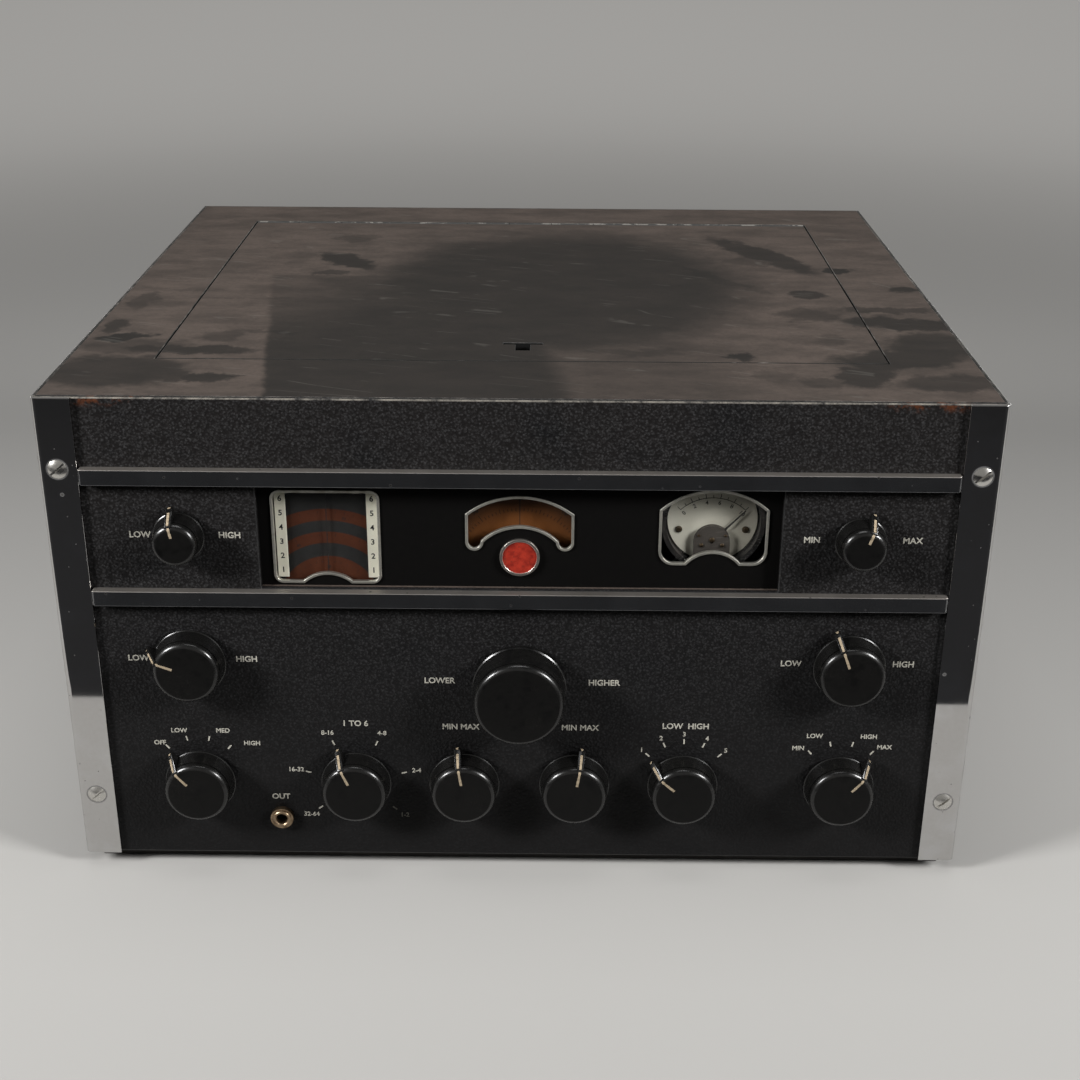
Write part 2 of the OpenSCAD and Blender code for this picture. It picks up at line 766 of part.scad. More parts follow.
module meter_window(g) {
    difference() {
        intersection() {
            translate([window_x, meter_high - meter_arch]) circle(meter_arch + g);
            translate([window_x, 0])
                round_rect([-meter_half - g, meter_low - g],
                           [meter_half + g, meter_high + 2 * meter_corner], meter_corner + g);
        }
        translate([window_x, meter_notch_z - meter_notch]) circle(meter_notch - g);
    }
}

module windows(g) {
    main_window(g);
    vernier_window(g);
    meter_window(g);
}

module dial_panel() on_base() color([0.03, 0.03, 0.03]) {
    outer = recess_w / 2 + dial_panel_lap;
    low = recess_low - dial_panel_lap;
    high = recess_high + dial_panel_lap;
    difference() {
        block([-outer, 0, low], [outer, dial_back, high]);
        block([-recess_w / 2, -cut, recess_low], [recess_w / 2, dial_face, recess_high]);
        facing(0, 0, dial_back + cut) linear_extrude(dial_back + 2 * cut) windows(0);
    }
}

module window_rims() on_base() color([0.72, 0.71, 0.66])
    facing(0, 0, dial_back) linear_extrude(dial_panel_t + rim_proud)
        difference() {
            windows(0);
            windows(-rim_w);
        }

module window_panes() on_base() color([0.8, 0.85, 0.85, 0.3])
    facing(0, 0, glass_back) linear_extrude(glass_t) windows(glass_lap);

module badge() on_base() color([0.6, 0.05, 0.04]) {
    recess = 0.5;
    edge = 1.5;
    facing(0, badge_z, dial_face) difference() {
        cylinder(r = badge_r, h = badge_t);
        translate([0, 0, badge_t - recess]) cylinder(r = badge_r - edge, h = recess + cut);
    }
}

module index_strips() on_base() color([0.85, 0.84, 0.76])
    for (side = [-1, 1])
        facing(dial_x + side * (main_half - rim_w - index_w / 2 - index_inset), 0, glass_back + index_t)
            linear_extrude(index_t)
                translate([-index_w / 2, main_low + index_end])
                    square([index_w, main_high - main_low - 2 * index_end]);

module dial_lamps() on_base() color([0.8, 0.78, 0.7])
    for (x = [dial_x, 0]) {
        socket_l = 6;
        bulb_gap = 0.6;
        bulb_l = plate_y - socket_l - glass_back - lamp_r - bulb_gap;
        rod(x, lamp_z, plate_y - socket_l, plate_y, lamp_socket_r);
        rod(x, lamp_z, plate_y - socket_l - bulb_l, plate_y - socket_l, lamp_r);
        translate([x, plate_y - socket_l - bulb_l, lamp_z]) sphere(lamp_r);
    }

// Meter

module meter_case() on_base() color([0.04, 0.04, 0.04])
    facing(window_x, meter_z, meter_front + meter_d) difference() {
        cylinder(r = meter_out, h = meter_d);
        translate([0, 0, meter_front + meter_d - scale_y - scale_t])
            cylinder(r = meter_out - meter_wall, h = meter_d);
    }

module meter_scale() on_base() color([0.82, 0.8, 0.72])
    facing(window_x, meter_z, scale_y + scale_t) cylinder(r = meter_r, h = scale_t);

module meter_movement() on_base() color([0.12, 0.12, 0.11]) {
    cover_r = 9.5;
    cover_t = 2.6;
    foot = meter_z - meter_r;
    difference() {
        facing(window_x, 0, scale_y) linear_extrude(cover_t) intersection() {
            union() {
                translate([0, needle_z]) circle(cover_r);
                translate([-cover_r, foot]) square([2 * cover_r, needle_z - foot]);
            }
            translate([0, meter_z]) circle(meter_r);
        }
        facing(window_x, needle_z, scale_y - slot_floor)
            rotate([0, 0, -needle_rest]) linear_extrude(needle_slot) needle_room(cover_r + cut);
        rod(window_x, needle_z, scale_y - cover_t - cut, scale_y + cut, pivot_r + run_fit);
    }
}

// The sector that the needle sweeps, seen from the front with the needle upright
module needle_room(r) {
    spread = 24;
    steps = 8;
    sweep = 2 * needle_rest + 2 * spread;
    polygon(concat([[0, 0]], [for (i = [0 : steps]) polar(2 * r, 90 - spread + i * sweep / steps)]));
    circle(needle_hub + hub_room);
}

module meter_needle() on_base() color([0.05, 0.05, 0.05]) {
    blade = 0.7;
    facing(window_x, needle_z, needle_y + needle_t) rotate([0, 0, -needle_rest]) {
        linear_extrude(needle_t) {
            polygon([[-blade, 0], [blade, 0], [blade / 3, needle_l], [-blade / 3, needle_l]]);
            circle(needle_hub);
        }
    }
    rod(window_x, needle_z, needle_y, scale_y - pivot_gap, pivot_r);
}

// Knobs and shafts. A knob is drawn with its axis along Z, its base at Z = 0 and its pointer up Y.

module knob_solid(base_r, face_r, len) {
    rotate_extrude() difference() {
        union() {
            polygon([[0, 0], [base_r, 0], [face_r, len - knob_rim], [0, len - knob_rim]]);
            square([face_r - knob_rim, len]);
            translate([face_r - knob_rim, len - knob_rim]) circle(knob_rim);
        }
        translate([-base_r, 0]) square([base_r, len]);
        translate([face_r - groove_d, len - groove_back - groove_w]) square([base_r, groove_w]);
        square([knob_recess_r, knob_recess_d]);
        square([shaft_r + run_fit, len - knob_crown]);
    }
}

module pointer(face_r, tip_r, len) {
    tip_h = 2.5;
    lift = 0.8;
    top_drop = 0.6;
    shoulder_inset = 0.4;
    root_wall = 0.5;
    top = len - top_drop;
    shoulder = face_r - shoulder_inset;
    root = knob_recess_r + root_wall;
    rotate([90, 0, 90]) translate([0, 0, -pointer_w / 2]) linear_extrude(pointer_w)
        polygon([[root, lift], [tip_r, lift], [tip_r, lift + tip_h], [shoulder, top], [root, top]]);
}

module pointer_knob(c, base_r, face_r, tip_r) on_base() color([0.04, 0.04, 0.04])
    facing(c[0], c[1], knob_base) rotate([0, 0, -c[2]]) {
        knob_solid(base_r, face_r, knob_l);
        pointer(face_r, tip_r, knob_l);
    }

module control_shaft(c, seat) on_base() color([0.7, 0.7, 0.7])
    rod(c[0], c[1], knob_base - knob_l + knob_crown, seat + shaft_depth, shaft_r);

module large_knob(c) pointer_knob(c, knob_r, knob_face, pointer_r);
module small_knob(c) pointer_knob(c, small_r, small_face, small_pointer);

module tone_knob() small_knob(tone);
module noise_knob() small_knob(noise);
module antenna_knob() large_knob(antenna);
module beat_knob() large_knob(beat);
module function_knob() large_knob(function_switch);
module range_knob() large_knob(range_switch);
module rf_gain_knob() large_knob(rf_gain);
module af_gain_knob() large_knob(af_gain);
module selectivity_knob() large_knob(selectivity);
module avc_knob() large_knob(avc);

module tone_shaft() control_shaft(tone, 0);
module noise_shaft() control_shaft(noise, 0);
module antenna_shaft() control_shaft(antenna, 0);
module beat_shaft() control_shaft(beat, 0);
module function_shaft() control_shaft(function_switch, chassis_t);
module range_shaft() control_shaft(range_switch, chassis_t);
module rf_gain_shaft() control_shaft(rf_gain, chassis_t);
module af_gain_shaft() control_shaft(af_gain, chassis_t);
module selectivity_shaft() control_shaft(selectivity, chassis_t);
module avc_shaft() control_shaft(avc, chassis_t);

module tuning_knob() on_base() color([0.04, 0.04, 0.04]) {
    skirt = 3;
    taper = 0.6;
    facing(0, tuning_z, knob_base) {
        knob_solid(tuning_face + taper, tuning_face, tuning_l);
        difference() {
            cylinder(r = tuning_r, h = skirt);
            translate([0, 0, -cut]) cylinder(r = knob_recess_r + cut, h = skirt + 2 * cut);
        }
    }
}

// Control bodies with their bushes and nuts

module control_body(c, seat, r, d) {
    difference() {
        union() {
            rod(c[0], c[1], seat, seat + d, r);
            rod(c[0], c[1], panel_face - bush_proud, seat, bush_r);
        }
        rod(c[0], c[1], panel_face - bush_proud - cut, seat + shaft_depth + shaft_end_gap, shaft_r + run_fit);
    }
}

module control_nut(c) {
    difference() {
        translate([c[0], panel_face, c[1]]) rotate([90, 0, 0]) cylinder(r = nut_r, h = nut_t, $fn = 6);
        rod(c[0], c[1], panel_face - nut_t - cut, panel_face + cut, bush_r + seat_fit);
    }
}

module control_bodies() on_base() color([0.62, 0.6, 0.55]) {
    flange_t = 2;
    for (c = pots_on_panel) control_body(c, 0, pot_r, pot_d);
    for (c = pots_on_chassis) control_body(c, chassis_t, pot_r, pot_d);
    for (c = switches) control_body(c, chassis_t, switch_r, switch_d);
    difference() {
        union() {
            rod(0, tuning_z, 0, flange_t, nut_r);
            rod(0, tuning_z, panel_face - bush_proud, 0, bush_r);
        }
        rod(0, tuning_z, panel_face - bush_proud - cut, flange_t + cut, shaft_r + run_fit);
    }
    for (c = all_controls) control_nut(c);
}

module phones_jack() on_base() color([0.72, 0.66, 0.5]) {
    jack_proud = 3;
    body_w = 18;
    body_h = 22;
    difference() {
        union() {
            rod(-jack_x, jack_z, panel_face - jack_proud, panel_face, jack_r);
            rod(-jack_x, jack_z, panel_face, chassis_t, jack_bush);
            block([-jack_x - body_w / 2, chassis_t, jack_z - body_h / 2],
                  [body_w / 2 - jack_x, jack_l, jack_z + body_h / 2]);
        }
        rod(-jack_x, jack_z, panel_face - jack_proud - cut, panel_face - jack_proud + jack_l, jack_bore);
    }
}

// Tuning drive

module main_dial() on_base() color([0.2, 0.16, 0.14])
    difference() {
        union() {
            rod(dial_x, dial_z, main_disc_y, main_disc_y + disc_t, dial_r);
            rod(dial_x, dial_z, main_disc_y, plate_y - boss_l - hub_gap, hub_r);
        }
        rod(dial_x, dial_z, main_disc_y - cut, plate_y, shaft_r + run_fit);
    }

module vernier_dial() on_base() color([0.45, 0.25, 0.1])
    difference() {
        union() {
            rod(0, vernier_z, vernier_disc_y, vernier_disc_y + disc_t, vernier_r);
            rod(0, vernier_z, vernier_disc_y, plate_y - boss_l - hub_gap, hub_r);
        }
        rod(0, vernier_z, vernier_disc_y - cut, plate_y, shaft_r + run_fit);
    }

module rotor_plate(y) {
    translate([dial_x, y + gang_plate_t, dial_z]) rotate([90, 0, 0]) linear_extrude(gang_plate_t)
        difference() {
            circle(gang_r);
            translate([-2 * gang_r, shaft_r]) square([4 * gang_r, 2 * gang_r]);
        }
}

function section_y(s) = gang_y + gang_wall + s * (gang_section_l + gang_wall);
function rotor_y(s, i) = section_y(s) + section_margin + (i + 1) * gang_pitch - gang_plate_t / 2;
function stator_y(s, i) = section_y(s) + section_margin + (i + 0.5) * gang_pitch - gang_plate_t / 2;

module gang_rotor() on_base() color([0.72, 0.68, 0.55]) {
    hub_end = first_gear_y + gear_t + gear_hub_l;
    union() {
        rod(dial_x, dial_z, main_disc_y - shaft_nose, gang_y + gang_l + tail, shaft_r);
        for (s = [0 : gang_sections - 1], i = [0 : gang_plates - 1]) rotor_plate(rotor_y(s, i));
    }
    difference() {
        union() {
            gear_at(dial_x, dial_z, first_gear_y, main_teeth, drive_module, 0, gear_t);
            rod(dial_x, dial_z, first_gear_y, hub_end, hub_r);
        }
        rod(dial_x, dial_z, first_gear_y - cut, hub_end + cut, shaft_r + run_fit);
    }
}

// The idler runs on a stub in the front bearing plate, clear of the large gear behind it
module idler_gear() on_base() color([0.72, 0.6, 0.32]) {
    gear_at(idler_x, idler_z, first_gear_y - face_extra, idler_teeth, drive_module, idler_turn,
            gear_t + 2 * face_extra);
    rod(idler_x, idler_z, plate_y - boss_l, first_gear_y + gear_t + face_extra, shaft_r);
}

module vernier_gear() on_base() color([0.72, 0.6, 0.32]) {
    gear_at(0, vernier_z, first_gear_y, pinion_teeth, drive_module, pinion_turn, gear_t);
    gear_at(0, vernier_z, second_gear_y, vernier_teeth, tuning_module, 0, gear_t);
    rod(0, vernier_z, first_gear_y + gear_t, second_gear_y, hub_r);
    rod(0, vernier_z, vernier_disc_y - shaft_nose, rear_plate_y + plate_t + boss_l, shaft_r);
}

module tuning_shaft() on_base() color([0.72, 0.72, 0.72]) {
    rod(0, tuning_z, knob_base - tuning_l + knob_crown, rear_plate_y + plate_t + boss_l, shaft_r);
    gear_at(0, tuning_z, second_gear_y - face_extra, tuning_teeth, tuning_module, tuning_turn,
            gear_t + 2 * face_extra);
    rod(0, tuning_z, second_gear_y + gear_t, flywheel_y, hub_r);
    rod(0, tuning_z, flywheel_y, flywheel_y + flywheel_t, flywheel_r);
}

module bearing_plate(y, top, axes) {
    difference() {
        union() {
            block([plate_left, y, deck_z], [plate_right, y + plate_t, top]);
            for (a = axes) rod(a[0], a[1], y - boss_l, y + plate_t + boss_l, boss_r);
        }
        for (a = axes) rod(a[0], a[1], y - boss_l - cut, y + plate_t + boss_l + cut, shaft_r + run_fit);
    }
    block([plate_left, y, deck_z], [plate_right, y + foot_d, deck_z + plate_t]);
}

module drive_plates() on_base() color([0.6, 0.6, 0.6]) {
    pillar_r = 4;
    bearing_plate(plate_y, lamp_z + lamp_socket_r, front_axes);
    bearing_plate(rear_plate_y, plate_top, rear_axes);
    for (x = [plate_left + plate_margin / 2, plate_right - plate_margin / 2])
        rod(x, deck_z + plate_margin, plate_y + plate_t, rear_plate_y, pillar_r);
}

module gang_frame() on_base() color([0.66, 0.66, 0.64]) {
    hole_room = 3;
    wall_hole = shaft_r + hole_room;
    difference() {
        union() {
            block([dial_x - gang_half, gang_y, deck_z],
                  [dial_x + gang_half, gang_y + gang_l, deck_z + gang_wall]);
            for (s = [0 : gang_sections]) {
                y = gang_y + s * (gang_section_l + gang_wall);
                block([dial_x - gang_half, y, deck_z], [dial_x + gang_half, y + gang_wall, gang_top]);
            }
        }
        for (y = [gang_y, gang_y + gang_l - gang_wall])
            rod(dial_x, dial_z, y - cut, y + gang_wall + cut, shaft_r + run_fit);
        rod(dial_x, dial_z, gang_y + gang_wall + cut, gang_y + gang_l - gang_wall - cut, wall_hole);
        for (z = stator_rods)
            rod(dial_x - stator_rod_x, z, gang_y - cut, gang_y + gang_l + cut, stator_rod_r + seat_fit);
    }
    union() {
        for (z = stator_rods) rod(dial_x - stator_rod_x, z, gang_y, gang_y + gang_l, stator_rod_r);
        for (s = [0 : gang_sections - 1], i = [0 : gang_plates]) stator_plate(stator_y(s, i));
    }
}

module stator_plate(y) {
    reach = stator_rod_x + stator_rod_r;
    inner = 3;
    end_inset = 4;
    half_h = gang_r - end_inset;
    translate([dial_x, y + gang_plate_t, dial_z]) rotate([90, 0, 0]) linear_extrude(gang_plate_t)
        difference() {
            translate([-reach, -half_h]) square([reach - inner, 2 * half_h]);
            circle(stator_in);
        }
}

// Chassis and the components on it

// Five flat sheets that meet at hair-line seams: the deck, the front and rear aprons, and two ends
module chassis() on_base() color([0.6, 0.61, 0.62]) {
    half = chassis_w / 2;
    under = deck_z - chassis_t;
    seam = seat_fit;
    apron_top = under - seam;
    block([-half, 0, under], [half, chassis_d, deck_z]);
    difference() {
        block([-half, 0, sheet_t], [half, chassis_t, apron_top]);
        for (c = concat(pots_on_chassis, switches)) rod(c[0], c[1], -cut, chassis_t + cut, bush_hole);
        rod(-jack_x, jack_z, -cut, chassis_t + cut, jack_bush + seat_fit);
    }
    block([-half, chassis_d - chassis_t, sheet_t], [half, chassis_d, apron_top]);
    for (side = [0, 1]) mirror([side, 0, 0])
        block([half - chassis_t, chassis_t + seam, sheet_t],
              [half, chassis_d - chassis_t - seam, apron_top]);
}

// Coil box under the deck, behind the range switch
module coil_box() on_base() color([0.66, 0.66, 0.68]) {
    box_w = 120;
    box_d = 170;
    box_h = 67.4;
    switch_space = 4;
    top = deck_z - chassis_t;
    front = chassis_t + switch_d + switch_space;
    block([-col_mid - box_w / 2, front, top - box_h], [box_w / 2 - col_mid, front + box_d, top]);
}

module power_transformer() on_base() color([0.08, 0.08, 0.08]) {
    core_w = 95;
    core_d = 50;
    core_h = 80;
    bell = 20;
    bell_inset = 8;
    bolt_r = 4;
    bolt_h = 3.5;
    bolt_inset = 5;
    side_space = 17.5;
    rear_reach = 75;
    mid = [right_edge - side_space - core_w / 2, chassis_d - rear_reach];
    union() {
        block([mid[0] - core_w / 2, mid[1] - core_d / 2, deck_z],
              [mid[0] + core_w / 2, mid[1] + core_d / 2, deck_z + core_h]);
        block([mid[0] - core_w / 2 + bell_inset, mid[1] - core_d / 2 - bell, deck_z + bell_inset],
              [mid[0] + core_w / 2 - bell_inset, mid[1] + core_d / 2 + bell, deck_z + core_h - bell_inset]);
    }
    for (dx = [-1, 1] * (core_w / 2 - bolt_inset), dy = [-1, 1] * (core_d / 2 - bolt_inset))
        translate([mid[0] + dx, mid[1] + dy, deck_z + core_h]) cylinder(r = bolt_r, h = bolt_h, $fn = 6);
}

// Choke, and two filter capacitors beside it
module filter_unit() on_base() color([0.35, 0.35, 0.36]) {
    choke = [60, 50, 60];
    capacitor = [16, 60, 70];
    spacing = 4;
    side_space = 2;
    rear_reach = 190;
    front = chassis_d - rear_reach;
    right = right_edge - side_space;
    for (i = [0, 1])
        translate([right - capacitor[0] - i * (capacitor[0] + spacing), front, deck_z]) cube(capacitor);
    translate([right - 2 * capacitor[0] - 3 * spacing - choke[0], front, deck_z]) cube(choke);
}

module if_cans() on_base() color([0.74, 0.74, 0.75]) {
    slug_x = 8;
    slug_r = 2.5;
    slug_h = 3;
    for (p = can_places) translate([p[0], can_rows[p[1]], deck_z]) {
        translate([-can_w / 2, -can_w / 2, 0]) cube([can_w, can_w, can_h]);
        for (side = [-1, 1]) translate([side * slug_x, 0, can_h]) cylinder(r = slug_r, h = slug_h);
    }
}

module valve() {
    base_rim = 3;
    base_r = valve_r + base_rim;
    base_h = 14;
    rotate_extrude() {
        square([base_r, base_h]);
        square([valve_r, valve_h - valve_r]);
        intersection() {
            translate([0, valve_h - valve_r]) circle(valve_r);
            translate([0, valve_h - valve_r]) square([valve_r, valve_r]);
        }
    }
}

module valves() on_base() color([0.12, 0.12, 0.13])
    for (column = valve_columns, i = [0 : column[1] - 1])
        translate([column[0], valve_front + i * valve_pitch, deck_z]) valve();

// Terminal strip with screw posts, and a mains inlet with two pins
module rear_terminals() on_base() color([0.16, 0.1, 0.07]) {
    strip_x = -60;
    strip_l = 110;
    strip_h = 20;
    terminal_t = 6;
    posts = 4;
    post_pitch = 26;
    post_r = 4;
    post_l = 4;
    inlet_x = 105;
    inlet_w = 44;
    inlet_h = 32;
    inlet_d = 10;
    inlet_wall = 5;
    inlet_floor = 3;
    pin_x = 6.5;
    pin_r = 2.4;
    pin_l = 6.5;
    z = (access_low + access_high) / 2;
    strip_face_y = chassis_d + terminal_t;
    floor_y = chassis_d + inlet_floor;
    block([strip_x - strip_l / 2, chassis_d, z - strip_h / 2],
          [strip_x + strip_l / 2, strip_face_y, z + strip_h / 2]);
    for (i = [0 : posts - 1])
        rod(strip_x + (i - (posts - 1) / 2) * post_pitch, z, strip_face_y, strip_face_y + post_l, post_r);
    difference() {
        block([inlet_x - inlet_w / 2, chassis_d, z - inlet_h / 2],
              [inlet_x + inlet_w / 2, chassis_d + inlet_d, z + inlet_h / 2]);
        block([inlet_x - inlet_w / 2 + inlet_wall, floor_y, z - inlet_h / 2 + inlet_wall],
              [inlet_x + inlet_w / 2 - inlet_wall, floor_y + inlet_d, z + inlet_h / 2 - inlet_wall]);
    }
    for (side = [-1, 1]) rod(inlet_x + side * pin_x, z, floor_y, floor_y + pin_l, pin_r);
}

cabinet_bottom();
cabinet_sides();
cabinet_top();
cabinet_back();
base_rails();
lid_hinge_leaf();
lid_panel();
lid_moving_leaf();
front_panel();
trim_strips();
trim_screws();
trim_bars();
dial_panel();
window_rims();
window_panes();
badge();
index_strips();
dial_lamps();
meter_case();
meter_scale();
meter_movement();
meter_needle();
main_dial();
gang_rotor();
idler_gear();
vernier_dial();
vernier_gear();
tuning_knob();
tuning_shaft();
drive_plates();
gang_frame();
tone_knob();
noise_knob();
antenna_knob();
beat_knob();
function_knob();
range_knob();
rf_gain_knob();
af_gain_knob();
selectivity_knob();
avc_knob();
tone_shaft();
noise_shaft();
antenna_shaft();
beat_shaft();
function_shaft();
range_shaft();
rf_gain_shaft();
af_gain_shaft();
selectivity_shaft();
avc_shaft();
control_bodies();
phones_jack();
chassis();
coil_box();
power_transformer();
filter_unit();
if_cans();
valves();
rear_terminals();
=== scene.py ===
import json
import math

import bmesh
import bpy
from mathutils import Matrix, Vector


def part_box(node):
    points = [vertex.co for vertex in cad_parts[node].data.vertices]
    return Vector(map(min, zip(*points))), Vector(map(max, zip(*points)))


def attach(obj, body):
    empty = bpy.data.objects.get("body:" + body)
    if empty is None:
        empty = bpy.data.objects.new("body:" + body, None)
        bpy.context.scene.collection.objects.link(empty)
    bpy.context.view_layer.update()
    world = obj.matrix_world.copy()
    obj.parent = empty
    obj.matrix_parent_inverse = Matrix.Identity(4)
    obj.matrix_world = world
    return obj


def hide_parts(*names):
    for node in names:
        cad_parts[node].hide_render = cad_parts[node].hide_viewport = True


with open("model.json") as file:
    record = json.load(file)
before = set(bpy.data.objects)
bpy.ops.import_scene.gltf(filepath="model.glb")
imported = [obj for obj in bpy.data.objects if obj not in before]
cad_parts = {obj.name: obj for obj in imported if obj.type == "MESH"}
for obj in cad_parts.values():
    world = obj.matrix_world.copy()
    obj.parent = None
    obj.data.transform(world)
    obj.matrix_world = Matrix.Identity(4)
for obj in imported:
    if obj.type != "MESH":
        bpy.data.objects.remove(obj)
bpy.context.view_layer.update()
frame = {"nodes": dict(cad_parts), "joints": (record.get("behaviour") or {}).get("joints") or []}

# Cabinet shell: bottom, two sides, back and top sheet, folded from sheet steel and welded.
# It is sprayed semi-matte black. A brown-grey film of dust lies on the top, wiped thin in the
# middle with a straight edge on the left, and fingers have pressed dark marks into the rest.
mm = 0.001
nodes = frame["nodes"]


def add(tree, kind, inputs=None, **settings):
    """A shader node: settings are its properties, inputs its values or the sockets linked to them."""
    made = tree.nodes.new("ShaderNode" + kind)
    for name, value in settings.items():
        setattr(made, name, value)
    for name, value in (inputs or {}).items():
        if isinstance(value, bpy.types.NodeSocket):
            tree.links.new(value, made.inputs[name])
        else:
            made.inputs[name].default_value = value
    return made


def mix(tree, factor, a, b, blend="MIX"):
    """Colour a turned to colour b by factor."""
    return add(tree, "Mix", {0: factor, 6: a, 7: b}, data_type="RGBA", blend_type=blend).outputs[2]


def calc(tree, operation, a, b=0.0):
    """A sum, product or other arithmetic on two values."""
    return add(tree, "Math", {0: a, 1: b}, operation=operation).outputs[0]


def times(tree, a, b):
    """The product of two values."""
    return calc(tree, "MULTIPLY", a, b)


def parts(tree, vector):
    """The three parts of a vector."""
    return add(tree, "SeparateXYZ", {0: vector}).outputs


def vector(tree, operation, a, b=(0.0, 0.0, 0.0)):
    """Arithmetic on two vectors: a vector, or a number for LENGTH and DISTANCE."""
    made = add(tree, "VectorMath", {0: a, 1: b}, operation=operation)
    return made.outputs["Value" if operation in ("LENGTH", "DISTANCE") else "Vector"]


def use(tree, effect, inputs):
    """A shared effect placed in a material with its own values."""
    return add(tree, "Group", inputs, node_tree=effect)


def fade(tree, value, low, high, start=0.0, end=1.0):
    """Runs smoothly from start to end while value goes from low to high."""
    inputs = {"Value": value, "From Min": low, "From Max": high, "To Min": start, "To Max": end}
    return add(tree, "MapRange", inputs, interpolation_type="SMOOTHSTEP").outputs["Result"]


def noise(tree, place, size, detail=3.0, roughness=0.55):
    """Cloudy noise with features of about that size in metres."""
    inputs = {"Vector": place, "Scale": 1 / size, "Detail": detail, "Roughness": roughness}
    return add(tree, "TexNoise", inputs).outputs["Fac"]


def new_material(name, **sockets):
    """A material whose Principled shader has these constant values, with its tree and shader."""
    material = bpy.data.materials.new(name)
    material.use_nodes = True
    shader = material.node_tree.nodes["Principled BSDF"]
    for socket, value in sockets.items():
        shader.inputs[socket.replace("_", " ")].default_value = value
    return material, material.node_tree, shader


def place_on(tree):
    """Places on the piece in metres, and its own normal's parts."""
    coordinates = add(tree, "TexCoord")
    return coordinates.outputs["Object"], parts(tree, coordinates.outputs["Normal"])


def new_group(name, inputs, outputs):
    """An empty shader group with named sockets, and the sockets inside it."""
    tree = bpy.data.node_groups.new(name, "ShaderNodeTree")
    for socket, default in inputs.items():
        kind = "NodeSocketVector" if isinstance(default, tuple) else "NodeSocketFloat"
        tree.interface.new_socket(socket, in_out="INPUT", socket_type=kind).default_value = default
    for socket in outputs:
        tree.interface.new_socket(socket, in_out="OUTPUT", socket_type="NodeSocketFloat")
    return tree, tree.nodes.new("NodeGroupInput").outputs, tree.nodes.new("NodeGroupOutput").inputs


def link(tree, source, target):
    """Feeds one socket from another."""
    tree.links.new(source, target)


def bump(tree, shader, height, depth):
    """Raises the surface by height, which runs from 0 to 1, times depth in metres."""
    inputs = {"Height": height, "Distance": depth, "Strength": 1.0}
    link(tree, add(tree, "Bump", inputs).outputs["Normal"], shader.inputs["Normal"])


# Grain of sprayed paint: rounded pebbles of one size, with a tone for each
paint_grain, grain_in, grain_out = new_group(
    "paint_grain", {"Place": (0.0, 0.0, 0.0), "Size": 1 * mm}, ["Height", "Tone"])
pebble_scale = calc(paint_grain, "DIVIDE", 1.0, grain_in["Size"])
pebbles = add(paint_grain, "TexVoronoi", {"Vector": grain_in["Place"], "Scale": pebble_scale},
              feature="SMOOTH_F1")
pebble_noise = add(paint_grain, "TexNoise", {
    "Vector": grain_in["Place"], "Scale": pebble_scale, "Detail": 2.0})
pebble_top = fade(paint_grain, pebbles.outputs["Distance"], 0.1, 0.8, 1.0, 0.0)
pebble_mix = calc(paint_grain, "ADD", times(paint_grain, pebble_top, 0.6),
                  times(paint_grain, pebble_noise.outputs["Fac"], 0.4))
pebble_shade = add(paint_grain, "SeparateColor", {0: pebbles.outputs["Color"]}).outputs[0]
link(paint_grain, pebble_mix, grain_out["Height"])
link(paint_grain, fade(paint_grain, pebble_shade, 0.35, 0.8), grain_out["Tone"])

# Dust: cloudy patches that hold most of it, broken up by fine specks
dust_film, dust_in, dust_out = new_group(
    "dust_film", {"Place": (0.0, 0.0, 0.0), "Patch": 0.1, "Cover": 0.5}, ["Mask"])
dust_patch = add(dust_film, "TexNoise", {
    "Vector": dust_in["Place"], "Scale": calc(dust_film, "DIVIDE", 1.0, dust_in["Patch"]),
    "Detail": 5.0, "Roughness": 0.6})
dust_speck = noise(dust_film, dust_in["Place"], 2.5 * mm, 4.0, 0.7)
dust_edge = calc(dust_film, "SUBTRACT", 0.95, times(dust_film, dust_in["Cover"], 0.9))
dust_cloud = add(dust_film, "MapRange", {
    "Value": dust_patch.outputs["Fac"], "From Min": calc(dust_film, "SUBTRACT", dust_edge, 0.25),
    "From Max": dust_edge}, interpolation_type="SMOOTHSTEP").outputs["Result"]
dust_grit = fade(dust_film, dust_speck, 0.2, 0.75, 0.55, 1.0)
link(dust_film, times(dust_film, dust_cloud, dust_grit), dust_out["Mask"])

# Hairline scratches: thin lines of a noise drawn out to the lengths in Reach, kept only in places
hairlines, hair_in, hair_out = new_group(
    "hairlines", {"Place": (0.0, 0.0, 0.0), "Reach": (0.05, 0.01, 0.01), "Turn": 0.5}, ["Mask"])
hair_turned = add(hairlines, "VectorRotate", {"Vector": hair_in["Place"], "Angle": hair_in["Turn"]},
                  rotation_type="AXIS_ANGLE")
hair_turned.inputs["Axis"].default_value = (0.35, 0.25, 1.0)
hair_place = vector(hairlines, "DIVIDE", hair_turned.outputs[0], hair_in["Reach"])
hair_noise = noise(hairlines, hair_place, 1.0, 1.0)
hair_line = fade(hairlines, calc(hairlines, "ABSOLUTE", calc(hairlines, "SUBTRACT", hair_noise, 0.5)),
                 0.004, 0.016, 1.0, 0.0)
hair_gate = fade(hairlines, noise(hairlines, hair_in["Place"], 21 * mm, 2.0), 0.52, 0.62)
link(hairlines, times(hairlines, hair_line, hair_gate), hair_out["Mask"])

